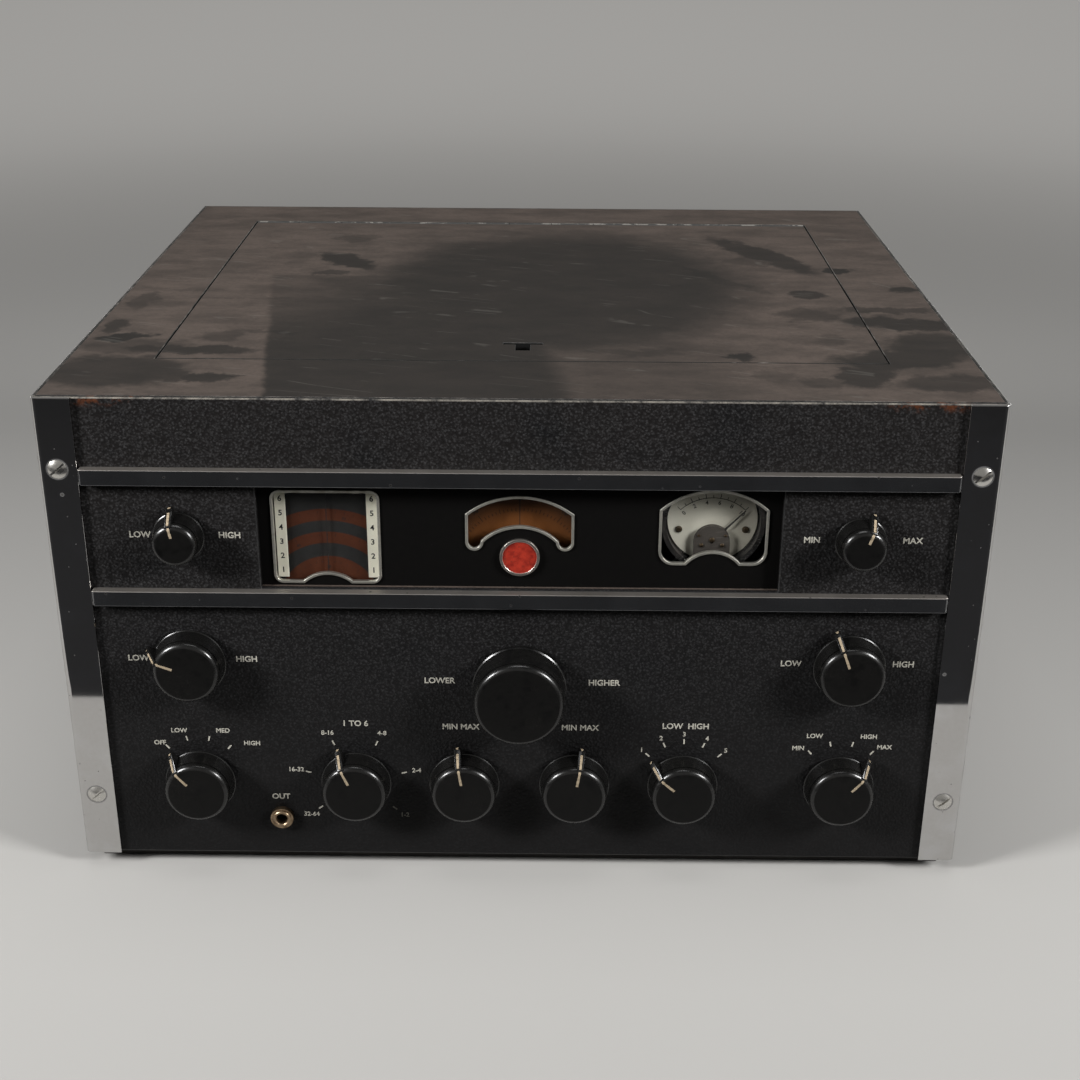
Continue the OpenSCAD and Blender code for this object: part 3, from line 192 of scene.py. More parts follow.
# Finger mark: a soft oval pressed into the dust
finger_mark, mark_in, mark_out = new_group(
    "finger_mark", {"Place": (0.0, 0.0, 0.0), "Centre": (0.0, 0.0, 0.0), "Half Length": 0.02,
                    "Half Width": 0.01, "Turn": 0.0, "Strength": 1.0}, ["Mask"])
mark_from = vector(finger_mark, "SUBTRACT", mark_in["Place"], mark_in["Centre"])
mark_turned = add(finger_mark, "VectorRotate", {
    "Vector": mark_from, "Angle": times(finger_mark, mark_in["Turn"], -1.0)},
    rotation_type="Z_AXIS")
mark_xyz = add(finger_mark, "SeparateXYZ", {0: mark_turned.outputs[0]})
mark_along = calc(finger_mark, "DIVIDE", mark_xyz.outputs[0], mark_in["Half Length"])
mark_across = calc(finger_mark, "DIVIDE", mark_xyz.outputs[1], mark_in["Half Width"])
mark_far = calc(finger_mark, "SQRT", calc(finger_mark, "ADD",
                times(finger_mark, mark_along, mark_along),
                times(finger_mark, mark_across, mark_across)))
mark_soft = fade(finger_mark, mark_far, 0.62, 1.12, 1.0, 0.0)
link(finger_mark, times(finger_mark, mark_soft, mark_in["Strength"]), mark_out["Mask"])

paint_black = (0.012, 0.012, 0.011, 1)
top_black = (0.0115, 0.0111, 0.0102, 1)
dust_brown = (0.115, 0.090, 0.076, 1)


def shell_paint():
    """Paint of the sides, back and bottom: even, with fine grain, faint dust and scuffs."""
    material, tree, shader = new_material("shell_paint", Specular_IOR_Level=0.3)
    place = place_on(tree)[0]
    grain = use(tree, paint_grain, {"Place": place, "Size": 0.7 * mm})
    dust = use(tree, dust_film, {"Place": place, "Patch": 0.12, "Cover": 0.55})
    scuff = use(tree, hairlines, {"Place": place, "Reach": (0.16, 0.16, 0.007), "Turn": 0.12})
    colour = mix(tree, times(tree, dust.outputs["Mask"], 0.08), paint_black, dust_brown)
    colour = mix(tree, times(tree, scuff.outputs["Mask"], 0.12), colour, (0.16, 0.15, 0.14, 1))
    link(tree, colour, shader.inputs["Base Color"])
    link(tree, fade(tree, dust.outputs["Mask"], 0.0, 1.0, 0.42, 0.62), shader.inputs["Roughness"])
    bump(tree, shader, grain.outputs["Height"], 0.02 * mm)
    return material


# Marks on the top seen from above: x, y, half length and half width in millimetres, turn in degrees
# and strength. The first rows lie on the left, the others on the right.
finger_marks = [
    (-118, 70, 32, 13, -53, 0.8), (-119, 134, 20, 12, 10, 0.45), (-126, 36, 11, 7, 0, 0.6),
    (-150, 75, 10, 30, 0, 0.3), (-223, -107, 19, 8, 6, 0.9), (-182, -128, 46, 10, -2, 0.75),
    (-170, -104, 15, 10, 0, 0.5), (-215, -168, 50, 32, 0, 0.75), (-210, -125, 42, 15, 0, 0.5),
    (-162, -178, 17, 10, 15, 0.8), (-184, -172, 13, 19, 30, 0.7), (-234, -83, 10, 17, 0, 0.7),
    (-229, -30, 9, 24, 0, 0.5), (-205, -6, 26, 3, 2, 0.35), (-170, -22, 62, 3, -1, 0.3),
    (-148, -95, 30, 4, 0, 0.45), (-95, 20, 40, 16, 5, 0.35),
    (155, 92, 68, 15, -58, 0.75), (146, 78, 20, 15, 20, 0.5), (171, -7, 13, 11, 0, 0.75),
    (166, -53, 21, 18, 0, 0.55), (156, -102, 13, 12, 0, 0.3), (172, -104, 11, 13, 0, 0.4),
    (202, 52, 13, 9, -10, 0.9), (235, 6, 12, 8, 0, 0.75), (214, -40, 38, 9, -3, 0.65),
    (220, -68, 44, 15, -8, 0.8), (206, -136, 48, 23, 10, 0.8), (180, -166, 17, 26, -30, 0.75),
    (228, -112, 34, 34, 0, 0.75), (226, -178, 34, 15, 0, 0.65), (120, -135, 12, 8, 0, 0.85),
    (132, -168, 14, 10, 0, 0.4), (155, -177, 15, 10, 0, 0.5), (123, 28, 52, 7, -52, 0.45),
    (60, -128, 36, 6, 0, 0.4)]
top_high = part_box("cabinet_top")[1]
# The wiped area has a straight left and right edge, at these x where y = 0, which lean by this much per
# metre, and a straight back edge. It fades out further right, and an oval patch lies over it.
wiped_x = -0.159
wiped_right = -0.01
wiped_lean = 0.14
wiped_back = 0.031
wiped_fade, wiped_end = 0.07, 0.16
patch_centre = (0.02, 0.01, 0.0)
patch_half_x, patch_half_y = 0.14, 0.17
# Near-black painted shade for upright faces and the inside of the finger pull
slot_painted_shade = (0.003, 0.003, 0.003, 1)


def drift(tree, place, moved, size, detail, roughness, reach):
    """A moved place that wanders further by up to half of reach, in clouds of that size."""
    inputs = {"Vector": place, "Scale": 1 / size, "Detail": detail, "Roughness": roughness}
    cloud = add(tree, "TexNoise", inputs).outputs["Color"]
    shift = vector(tree, "SUBTRACT", cloud, (0.5, 0.5, 0.5))
    return vector(tree, "ADD", moved, vector(tree, "MULTIPLY", shift, (reach, reach, reach)))


def top_paint():
    """Paint of the top sheet and the lid under its film of dust, wiped and fingered. Upright faces and all
    below the top surface, such as the inside of the finger pull, take a painted shade of near black.
    """
    material, tree, shader = new_material("top_paint", Specular_IOR_Level=0.14)
    place, normal = place_on(tree)
    xyz = parts(tree, place)
    warped = drift(tree, place, place, 30 * mm, 6.0, 0.62, 24 * mm)
    warped = drift(tree, place, warped, 11 * mm, 5.0, 0.7, 20 * mm)
    pressed = None
    for x, y, half_length, half_width, turn, strength in finger_marks:
        mark = use(tree, finger_mark, {
            "Place": warped, "Centre": (x * mm, y * mm, 0.0), "Half Length": half_length * mm,
            "Half Width": half_width * mm, "Turn": math.radians(turn), "Strength": strength})
        flat = mark.outputs["Mask"]
        pressed = flat if pressed is None else calc(tree, "MAXIMUM", pressed, flat)
    warped_xyz = parts(tree, warped)
    ragged = calc(tree, "ADD", times(tree, xyz[0], 0.75), times(tree, warped_xyz[0], 0.25))
    leaning = calc(tree, "ADD", ragged, times(tree, xyz[1], wiped_lean))
    left_edge = fade(tree, leaning, wiped_x - 2 * mm, wiped_x + 4 * mm)
    back_edge = fade(tree, xyz[1], wiped_back, wiped_back + 2 * mm, 1.0, 0.0)
    right_edge = times(tree, fade(tree, leaning, wiped_right - 6 * mm, wiped_right + 14 * mm, 1.0, 0.5),
                      fade(tree, warped_xyz[0], wiped_fade, wiped_end, 1.0, 0.0))
    thinner = fade(tree, calc(tree, "SUBTRACT", leaning, warped_xyz[1]), wiped_x, wiped_x + 0.16, 0.45, 1.0)
    box = times(tree, times(tree, left_edge, back_edge), right_edge)
    box = times(tree, box, thinner)
    from_patch = vector(tree, "SUBTRACT", warped, patch_centre)
    oval = vector(tree, "MULTIPLY", from_patch, (1 / patch_half_x, 1 / patch_half_y, 0.0))
    round_far = vector(tree, "LENGTH", oval)
    patch = fade(tree, round_far, 0.55, 1.1, 1.0, 0.0)
    wiped = calc(tree, "MAXIMUM", box, patch)
    film = use(tree, dust_film, {"Place": place, "Patch": 0.11, "Cover": 0.78})
    sideways = vector(tree, "MULTIPLY", place, (0.45, 1.0, 1.0))
    streaks = fade(tree, noise(tree, sideways, 17 * mm, 6.0, 0.65), 0.3, 0.7, 0.55, 1.0)
    kept = times(tree, fade(tree, wiped, 0.0, 1.0, 1.0, 0.18), fade(tree, pressed, 0.0, 1.0, 1.0, 0.1))
    laid = times(tree, fade(tree, film.outputs["Mask"], 0.0, 1.0, 0.35, 1.0), kept)
    laid = times(tree, laid, streaks)
    facing_up = fade(tree, normal[2], 0.5, 0.9)
    outside = fade(tree, xyz[2], top_high.z - 2.5 * mm, top_high.z - 1.2 * mm)
    dusty = times(tree, laid, times(tree, facing_up, outside))
    scratch = use(tree, hairlines, {"Place": place, "Reach": (0.22, 0.016, 0.016), "Turn": 0.35})
    # Painted shade: faces that are not level, and all below the top surface such as the inside of the
    # finger pull, are coloured near black.
    level = fade(tree, calc(tree, "ABSOLUTE", normal[2]), 0.3, 0.7)
    colour = mix(tree, times(tree, outside, level), slot_painted_shade, top_black)
    colour = mix(tree, times(tree, dusty, 0.7), colour, dust_brown)
    scored = times(tree, scratch.outputs["Mask"], times(tree, facing_up, 0.12))
    colour = mix(tree, scored, colour, (0.2, 0.19, 0.17, 1))
    link(tree, colour, shader.inputs["Base Color"])
    link(tree, fade(tree, dusty, 0.0, 1.0, 0.78, 0.9), shader.inputs["Roughness"])
    grain = use(tree, paint_grain, {"Place": place, "Size": 0.7 * mm})
    bump(tree, shader, grain.outputs["Height"], 0.012 * mm)
    return material


def worn_edge(name, paint, bare, cover):
    """Paint chipped to bare steel along a sheet's rounded edge, over a share of it."""
    material, tree, shader = new_material(name)
    place = place_on(tree)[0]
    chips = noise(tree, place, 9 * mm, 6.0, 0.7)
    rubbed = noise(tree, place, 60 * mm, 2.0)
    chipped = fade(tree, calc(tree, "ADD", chips, times(tree, rubbed, 0.6)),
                   0.9 - 0.6 * cover, 1.2 - 0.6 * cover)
    link(tree, mix(tree, chipped, paint, bare), shader.inputs["Base Color"])
    link(tree, times(tree, chipped, 0.8), shader.inputs["Metallic"])
    link(tree, fade(tree, chips, 0.3, 0.7, 0.35, 0.6), shader.inputs["Roughness"])
    return material


def dress(name, *materials):
    """Gives a node its finish in place of the plain one."""
    slots = nodes[name].data.materials
    slots.clear()
    for material in materials:
        slots.append(material)


def soften(name, width, worn=False):
    """Rounds a node's sharp edges by that width. A worn edge takes the node's second material."""
    weld = nodes[name].modifiers.new("weld", "WELD")
    weld.merge_threshold = 0.002 * mm
    flat = nodes[name].modifiers.new("flat_faces", "DECIMATE")
    flat.decimate_type = "DISSOLVE"
    flat.angle_limit = math.radians(0.5)
    edge = nodes[name].modifiers.new("edge", "BEVEL")
    edge.width = width
    edge.segments = 3
    edge.limit_method = "ANGLE"
    edge.angle_limit = math.radians(50)
    edge.use_clamp_overlap = False
    edge.material = 1 if worn else -1
    even = nodes[name].modifiers.new("even", "WEIGHTED_NORMAL")
    even.keep_sharp = True


shell = shell_paint()
dusty_top = top_paint()
bare_steel = (0.24, 0.22, 0.20, 1)
shell_edge = worn_edge("shell_edge", paint_black, bare_steel, 0.3)
for name in ("cabinet_bottom", "cabinet_sides", "cabinet_back"):
    dress(name, shell, shell_edge)
    soften(name, 0.5 * mm, worn=True)
dress("cabinet_top", dusty_top, shell_edge)
soften("cabinet_top", 0.4 * mm, worn=True)

# Base rails: two square bars of black-painted wood under the front and back edges, screwed up
# through the bottom sheet. Dust has settled along them.


def lacquer(name, colour, roughness, grain_size, grain_depth, dust_cover):
    """Sprayed or dipped lacquer over metal or wood: slight grain, uneven gloss, dust and scuffs."""
    material, tree, shader = new_material(name)
    place, normal = place_on(tree)
    grain = use(tree, paint_grain, {"Place": place, "Size": grain_size})
    dust = use(tree, dust_film, {"Place": place, "Patch": 30 * mm, "Cover": dust_cover})
    scuff = use(tree, hairlines, {"Place": place, "Reach": (0.05, 0.05, 0.005)})
    dusty = times(tree, dust.outputs["Mask"], fade(tree, normal[2], -0.2, 0.9, 0.06, 0.45))
    tone = mix(tree, times(tree, grain.outputs["Tone"], 0.075), colour, dust_brown)
    tone = mix(tree, dusty, tone, dust_brown)
    tone = mix(tree, times(tree, scuff.outputs["Mask"], 0.2), tone, (0.3, 0.28, 0.26, 1))
    link(tree, tone, shader.inputs["Base Color"])
    link(tree, fade(tree, dust.outputs["Mask"], 0.0, 1.0, roughness, min(1.0, roughness + 0.25)),
         shader.inputs["Roughness"])
    bump(tree, shader, grain.outputs["Height"], grain_depth)
    return material


dress("base_rails", lacquer("rail_lacquer", (0.016, 0.015, 0.014, 1), 0.5, 2 * mm, 0.04 * mm, 0.5))
soften("base_rails", 0.8 * mm)

# Chassis: five plated steel sheets welded into a pan, with the coil box under it and the
# transformer, choke, capacitors, screening cans and valves bolted or plugged in on top.

# Brushed metal: fine streaks along one direction, with slow clouds of tarnish
brushed, brush_in, brush_out = new_group(
    "brushed", {"Place": (0.0, 0.0, 0.0), "Stretch": (1.0, 1.0, 1.0), "Cloud": 0.05}, ["Streak", "Tarnish"])
brush_place = vector(brushed, "MULTIPLY", brush_in["Place"], brush_in["Stretch"])
link(brushed, noise(brushed, brush_place, 1.0, 3.0, 0.6), brush_out["Streak"])
brush_cloud = add(brushed, "TexNoise", {
    "Vector": brush_in["Place"], "Scale": calc(brushed, "DIVIDE", 1.0, brush_in["Cloud"]), "Detail": 6.0})
link(brushed, fade(brushed, brush_cloud.outputs["Fac"], 0.38, 0.72), brush_out["Tarnish"])


def plated(name, bright, dull, roughness, stretch, cloud=0.04, dust_cover=0.3, metallic=1.0):
    """Plated or bare metal: brushed streaks, tarnish turning bright to dull, and settled dust."""
    material, tree, shader = new_material(name)
    place, normal = place_on(tree)
    brush = use(tree, brushed, {"Place": place, "Stretch": stretch, "Cloud": cloud})
    dust = use(tree, dust_film, {"Place": place, "Patch": 50 * mm, "Cover": dust_cover})
    dusty = times(tree, dust.outputs["Mask"], fade(tree, normal[2], 0.3, 0.9, 0.0, 0.45))
    tone = mix(tree, brush.outputs["Tarnish"], bright, dull)
    tone = mix(tree, fade(tree, brush.outputs["Streak"], 0.3, 0.7, 0.0, 0.35), tone, dull)
    link(tree, mix(tree, dusty, tone, dust_brown), shader.inputs["Base Color"])
    link(tree, fade(tree, dusty, 0.0, 0.5, metallic, 0.1), shader.inputs["Metallic"])
    rough = calc(tree, "ADD", fade(tree, brush.outputs["Streak"], 0.3, 0.7, roughness, roughness + 0.12),
                 times(tree, brush.outputs["Tarnish"], 0.18))
    link(tree, rough, shader.inputs["Roughness"])
    return material


fine = 1 / (0.4 * mm)
slow = 1 / (12 * mm)
cadmium = plated("cadmium_plate", (0.50, 0.50, 0.47, 1), (0.30, 0.29, 0.26, 1), 0.32, (slow, fine, fine),
                 60 * mm, 0.5, 0.6)
aluminium = plated("can_aluminium", (0.66, 0.66, 0.67, 1), (0.45, 0.45, 0.45, 1), 0.26, (fine, fine, slow),
                   metallic=0.65)
dress("chassis", cadmium)
for name in ("coil_box", "if_cans"):
    dress(name, aluminium)
    soften(name, 1.2 * mm)
dress("power_transformer", lacquer("transformer_lacquer", (0.018, 0.018, 0.018, 1), 0.35, 1.5 * mm,
                                   0.03 * mm, 0.6))
soften("power_transformer", 1.5 * mm)
dress("filter_unit", lacquer("filter_enamel", (0.13, 0.135, 0.14, 1), 0.38, 1.2 * mm, 0.02 * mm, 0.6))
soften("filter_unit", 1.2 * mm)
dress("valves", lacquer("valve_lacquer", (0.022, 0.022, 0.024, 1), 0.3, 0.8 * mm, 0.01 * mm, 0.5))

# Gang capacitor and tuning drive: aluminium plates on a steel shaft in a folded frame, turned
# through brass gears between two steel bearing plates, with a flywheel on the tuning shaft.
gang_metal = plated("gang_metal", (0.62, 0.61, 0.56, 1), (0.42, 0.40, 0.34, 1), 0.35, (fine, fine, slow))
brass = plated("gear_brass", (0.62, 0.45, 0.17, 1), (0.36, 0.25, 0.10, 1), 0.28, (fine, slow, fine),
               15 * mm)
plate_steel = plated("plate_steel", (0.52, 0.52, 0.50, 1), (0.33, 0.32, 0.29, 1), 0.34, (slow, fine, fine))
turned_steel = plated("turned_steel", (0.60, 0.59, 0.57, 1), (0.36, 0.35, 0.33, 1), 0.22,
                      (slow, fine, slow), 8 * mm, 0.1)
for name in ("gang_frame", "gang_rotor"):
    dress(name, gang_metal)
for name in ("idler_gear", "vernier_gear"):
    dress(name, brass)
dress("tuning_shaft", turned_steel)
dress("drive_plates", plate_steel)

# Rear terminals: a moulded brown strip with screw posts, and a mains inlet with two pins,
# riveted to the back apron where the cabinet's back is cut away.
terminal_low, terminal_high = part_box("rear_terminals")
terminal_z = (terminal_low.z + terminal_high.z) / 2
posts = [(-60 * mm + (i - 1.5) * 26 * mm, 4 * mm) for i in range(4)]
pins = [(105 * mm + side * 6.5 * mm, 2.4 * mm) for side in (-1, 1)]


def from_axis(tree, place, axis):
    """Distance of a place from an axis along Y."""
    away = vector(tree, "SUBTRACT", place, tuple(axis))
    return vector(tree, "LENGTH", vector(tree, "MULTIPLY", away, (1.0, 0.0, 1.0)))


def terminal_moulding():
    """Brown moulding, dusty in patches, with bright posts and pins."""
    material, tree, shader = new_material("terminal_moulding")
    place = place_on(tree)[0]
    metal = 0.0
    for x, radius in posts + pins:
        away = from_axis(tree, place, (x, 0.0, terminal_z))
        metal = calc(tree, "MAXIMUM", metal, calc(tree, "LESS_THAN", away, radius + 0.1 * mm))
    dust = use(tree, dust_film, {"Place": place, "Patch": 12 * mm, "Cover": 0.5})
    flow = noise(tree, place, 6 * mm, 4.0)
    brown = mix(tree, flow, (0.038, 0.019, 0.011, 1), (0.066, 0.034, 0.020, 1))
    brown = mix(tree, times(tree, dust.outputs["Mask"], 0.2), brown, dust_brown)
    bright = mix(tree, flow, (0.56, 0.50, 0.38, 1), (0.38, 0.33, 0.24, 1))
    link(tree, mix(tree, metal, brown, bright), shader.inputs["Base Color"])
    link(tree, metal, shader.inputs["Metallic"])
    link(tree, fade(tree, dust.outputs["Mask"], 0.0, 1.0, 0.3, 0.55), shader.inputs["Roughness"])
    return material


dress("rear_terminals", terminal_moulding())
soften("rear_terminals", 0.5 * mm)

# Front panel: a steel plate in black pebbled paint, bolted to the cabinet's flanges under the side
# strips. Its top edge is rubbed to the metal, and rust has broken through near both ends.
panel_low, panel_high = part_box("front_panel")
panel_black = (0.0072, 0.0072, 0.0075, 1)
rust_brown = (0.075, 0.026, 0.012, 1)
rust_x = 0.208
rust_half = 0.03


def panel_paint():
    """Pebbled paint with a fine mottle, a little dust, and rust under the top edge near the ends. The
    mottle's pale tips weaken towards the bottom as painted shade.
    """
    material, tree, shader = new_material("panel_paint", Specular_IOR_Level=0.1)
    place = place_on(tree)[0]
    xyz = parts(tree, place)
    grain = use(tree, paint_grain, {"Place": place, "Size": 1.3 * mm})
    dust = use(tree, dust_film, {"Place": place, "Patch": 60 * mm, "Cover": 0.5})
    mottle = fade(tree, noise(tree, place, 1.15 * mm, 2.0, 0.6), 0.34, 0.74)
    tips = times(tree, fade(tree, grain.outputs["Height"], 0.3, 0.8), mottle)
    # Painted shade: the pale tips of the mottle fade out towards the bottom of the panel.
    dimmed = fade(tree, xyz[2], panel_low.z, panel_low.z + 0.75 * (panel_high.z - panel_low.z), 0.15, 1.0)
    colour = mix(tree, times(tree, tips, dimmed), panel_black, (0.040, 0.040, 0.041, 1))
    high = fade(tree, xyz[2], panel_low.z + 0.4 * (panel_high.z - panel_low.z), panel_high.z, 0.015, 0.045)
    colour = mix(tree, times(tree, dust.outputs["Mask"], high), colour, dust_brown)
    sideways = calc(tree, "ABSOLUTE", xyz[0])
    from_rust = calc(tree, "ABSOLUTE", calc(tree, "SUBTRACT", sideways, rust_x))
    near_end = fade(tree, from_rust, 0.4 * rust_half, rust_half, 1.0, 0.0)
    near_top = fade(tree, xyz[2], panel_high.z - 6 * mm, panel_high.z - 1 * mm)
    eaten = fade(tree, noise(tree, place, 8 * mm, 6.0, 0.7), 0.5, 0.62)
    rusty = times(tree, times(tree, near_end, near_top), eaten)
    link(tree, mix(tree, rusty, colour, rust_brown), shader.inputs["Base Color"])
    link(tree, fade(tree, grain.outputs["Tone"], 0.0, 1.0, 0.36, 0.55), shader.inputs["Roughness"])
    bump(tree, shader, grain.outputs["Height"], 0.3 * mm)
    return material


def panel_edge():
    """The panel's rounded edges: bare steel along the top, paint worn only in places elsewhere."""
    material, tree, shader = new_material("panel_edge")
    place = place_on(tree)[0]
    xyz = parts(tree, place)
    chips = noise(tree, place, 7 * mm, 6.0, 0.7)
    on_top = fade(tree, xyz[2], panel_high.z - 2 * mm, panel_high.z - 0.8 * mm, -0.12, 0.12)
    chipped = fade(tree, calc(tree, "ADD", chips, on_top), 0.45, 0.75)
    link(tree, mix(tree, chipped, panel_black, (0.24, 0.22, 0.19, 1)), shader.inputs["Base Color"])
    link(tree, times(tree, chipped, 0.7), shader.inputs["Metallic"])
    link(tree, fade(tree, chips, 0.3, 0.7, 0.4, 0.6), shader.inputs["Roughness"])
    return material


dress("front_panel", panel_paint(), panel_edge())
soften("front_panel", 0.6 * mm, worn=True)

# Legends: cream-white marks filled into the panel: plain words and numbers beside the controls, and
# a short tick at each place of a switch. The ink stands a hair proud of the paint.
ink_depth = 0.06 * mm
cap_height = 3.3 * mm
cream_ink = (0.46, 0.44, 0.38, 1)


def forward(x, y, z):
    """A place whose Z axis points out of the front."""
    return Matrix.Translation((x, y, z)) @ Matrix.Rotation(math.pi / 2, 4, "X")


panel_face = forward(0, panel_low.y, panel_low.z)


def ink(name, colour):
    """Old printing ink: chalky, a little worn through."""
    material, tree, shader = new_material(name, Roughness=0.7, Specular_IOR_Level=0.15)
    place = place_on(tree)[0]
    worn = fade(tree, noise(tree, place, 1.6 * mm, 4.0, 0.7), 0.46, 0.66, 0.0, 0.6)
    dimmed = tuple(0.35 * part for part in colour[:3]) + (1,)
    link(tree, mix(tree, worn, colour, dimmed), shader.inputs["Base Color"])
    return material


def new_piece(name, mesh, body, material):
    """A piece of the object from a bmesh, riding on a body."""
    data = bpy.data.meshes.new(name)
    mesh.to_mesh(data)
    mesh.free()
    data.materials.append(material)
    piece = bpy.data.objects.new(name, data)
    bpy.context.scene.collection.objects.link(piece)
    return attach(piece, body)


def words_mesh(words, depth):
    """Words as (text, height, place), each drawn in its place's XY plane and standing up its Z."""
    letters = []
    for text, height, place in words:
        curve = bpy.data.curves.new("word", "FONT")
        curve.body = text
        curve.size = height / 0.69
        curve.align_x = "CENTER"
        curve.align_y = "CENTER"
        curve.extrude = depth / 2
        curve.offset = 0.03 * height
        curve.resolution_u = 3
        letter = bpy.data.objects.new("word", curve)
        bpy.context.scene.collection.objects.link(letter)
        letters.append((letter, place @ Matrix.Translation((0, 0, depth / 2))))
    settled = bpy.context.evaluated_depsgraph_get()
    joined = bmesh.new()
    for letter, place in letters:
        shape = bpy.data.meshes.new_from_object(letter.evaluated_get(settled))
        shape.transform(place)
        joined.from_mesh(shape)
        bpy.data.meshes.remove(shape)
    for letter, place in letters:
        curve = letter.data
        bpy.data.objects.remove(letter)
        bpy.data.curves.remove(curve)
    return joined


def bar(mesh, size, place):
    """A small block of that size whose base is centred on the place's XY plane."""
    shape = place @ Matrix.Translation((0, 0, size[2] / 2)) @ Matrix.Diagonal((*size, 1))
    bmesh.ops.create_cube(mesh, size=1.0, matrix=shape)


def at(x, z):
    """A place on the panel's face, from its middle and its bottom edge in millimetres."""
    return panel_face @ Matrix.Translation((x * mm, z * mm, 0))


def round_knob(centre, angle, radius):
    """A place on the panel at a clock angle and radius round a knob's centre."""
    turn = math.radians(angle)
    return at(centre[0] + radius * math.sin(turn), centre[1] + radius * math.cos(turn))


row_low, row_high = 47.5, 195.3
function_at, avc_at = (-176, row_low), (176, row_low)
range_at, selectivity_at = (-90, row_low), (90, row_low)
side_words = [("LOW", -196.5, row_high), ("HIGH", -150, row_high), ("MIN", 151, row_high),
              ("MAX", 203, row_high),
              ("LOW", -204, 123.2), ("HIGH", -146, 123), ("LOW", 145, 123.2), ("HIGH", 205, 123.2),
              ("LOWER", -43, 111), ("HIGHER", 45.5, 110.4), ("1 TO 6", -89.5, 84), ("MIN MAX", -32, 82.5),
              ("MIN MAX", 33, 82.5), ("LOW  HIGH", 90.5, 84), ("OUT", -132.5, 37)]
switch_words = [("OFF", -197, 71), ("LOW", -186, 78.7), ("MED", -162, 78.8), ("HIGH", -146.5, 71),
                ("MIN", 152.5, 71), ("LOW", 161, 78.7), ("HIGH", 190.5, 78.5), ("MAX", 199.5, 72)]
range_words = ["32-64", "16-32", "8-16", "4-8", "2-4", "1-2"]
range_step = 52
selectivity_step = 23.5
switch_step = 26
small_cap = 2.6 * mm
words = [(text, cap_height, at(x, z)) for text, x, z in side_words]
words += [(text, small_cap, at(x, z)) for text, x, z in switch_words]
for i, text in enumerate(range_words):
    angle = (i - 2.5) * range_step
    words.append((text, small_cap, round_knob(range_at, angle, 34)))
for i in range(5):
    words.append((str(i + 1), small_cap, round_knob(selectivity_at, (i - 2) * selectivity_step, 31.5)))
legend_mesh = words_mesh(words, ink_depth)
tick = (0.8 * mm, 3 * mm, ink_depth)
tick_places = [(function_at, (i - 1.5) * switch_step) for i in range(4)]
tick_places += [(avc_at, (i - 1.5) * switch_step) for i in range(4)]
tick_places += [(range_at, (i - 2.5) * range_step) for i in range(6)]
tick_places += [(selectivity_at, (i - 2) * selectivity_step) for i in range(5)]
for centre, angle in tick_places:
    bar(legend_mesh, tick, round_knob(centre, angle, 27) @ Matrix.Rotation(-math.radians(angle), 4, "Z"))
cream = ink("cream_ink", cream_ink)
new_piece("panel_legends", legend_mesh, "cabinet", cream)

# Control bodies and shafts: potentiometers and switches held by their bushes and hexagon nuts
# in the panel and the chassis apron, each with a quarter-inch steel shaft.
dress("control_bodies", plated("control_plate", (0.52, 0.50, 0.44, 1), (0.34, 0.31, 0.26, 1), 0.36,
                               (fine, slow, fine)))
controls = ("tone", "noise", "antenna", "beat", "function", "range", "rf_gain", "af_gain",
            "selectivity", "avc")
for name in controls:
    dress(name + "_shaft", turned_steel)

# Dial panel: a black satin pressing behind the panel's opening, with three windows edged by thin
# silvered rims, a pane behind each, and a round enamelled badge. Dirt lies along its bottom ledge.


def dial_panel_paint():
    """Satin black with brown dirt on the ledge and fine dust specks."""
    material, tree, shader = new_material("dial_panel_paint", Specular_IOR_Level=0.05)
    place, normal = place_on(tree)
    specks = noise(tree, place, 1.1 * mm, 2.0)
    dust = use(tree, dust_film, {"Place": place, "Patch": 14 * mm, "Cover": 0.75})
    ledge = times(tree, fade(tree, normal[2], 0.3, 0.8, 0.012, 0.75), dust.outputs["Mask"])
    colour = mix(tree, ledge, (0.0025, 0.0025, 0.0025, 1), dust_brown)
    colour = mix(tree, fade(tree, specks, 0.76, 0.82, 0.0, 0.15), colour, (0.2, 0.2, 0.19, 1))
    link(tree, colour, shader.inputs["Base Color"])
    link(tree, fade(tree, dust.outputs["Mask"], 0.0, 1.0, 0.38, 0.6), shader.inputs["Roughness"])
    return material


dress("dial_panel", dial_panel_paint())
rim_silver = plated("rim_silver", (0.56, 0.55, 0.50, 1), (0.32, 0.31, 0.27, 1), 0.38,
                    (fine, fine, fine), 6 * mm, 0.2)
dress("window_rims", rim_silver)
soften("window_rims", 0.25 * mm)


def pane_glass():
    """Thin old glass: clear, with a faint haze of dust that shows more at a slant."""
    material, tree, shader = new_material("pane_glass", Base_Color=(0.92, 0.94, 0.92, 1), Roughness=0.04,
                                          IOR=1.5, Transmission_Weight=1.0)
    place = place_on(tree)[0]
    haze = use(tree, dust_film, {"Place": place, "Patch": 16 * mm, "Cover": 0.5})
    slant = add(tree, "LayerWeight", {"Blend": 0.25}).outputs["Fresnel"]
    front = calc(tree, "SUBTRACT", 1.0, add(tree, "NewGeometry").outputs["Backfacing"])
    slant = times(tree, slant, front)
    shown = calc(tree, "ADD", fade(tree, haze.outputs["Mask"], 0.0, 1.0, 0.0, 0.04), slant)
    link(tree, shown, shader.inputs["Alpha"])
    return material


dress("window_panes", pane_glass())


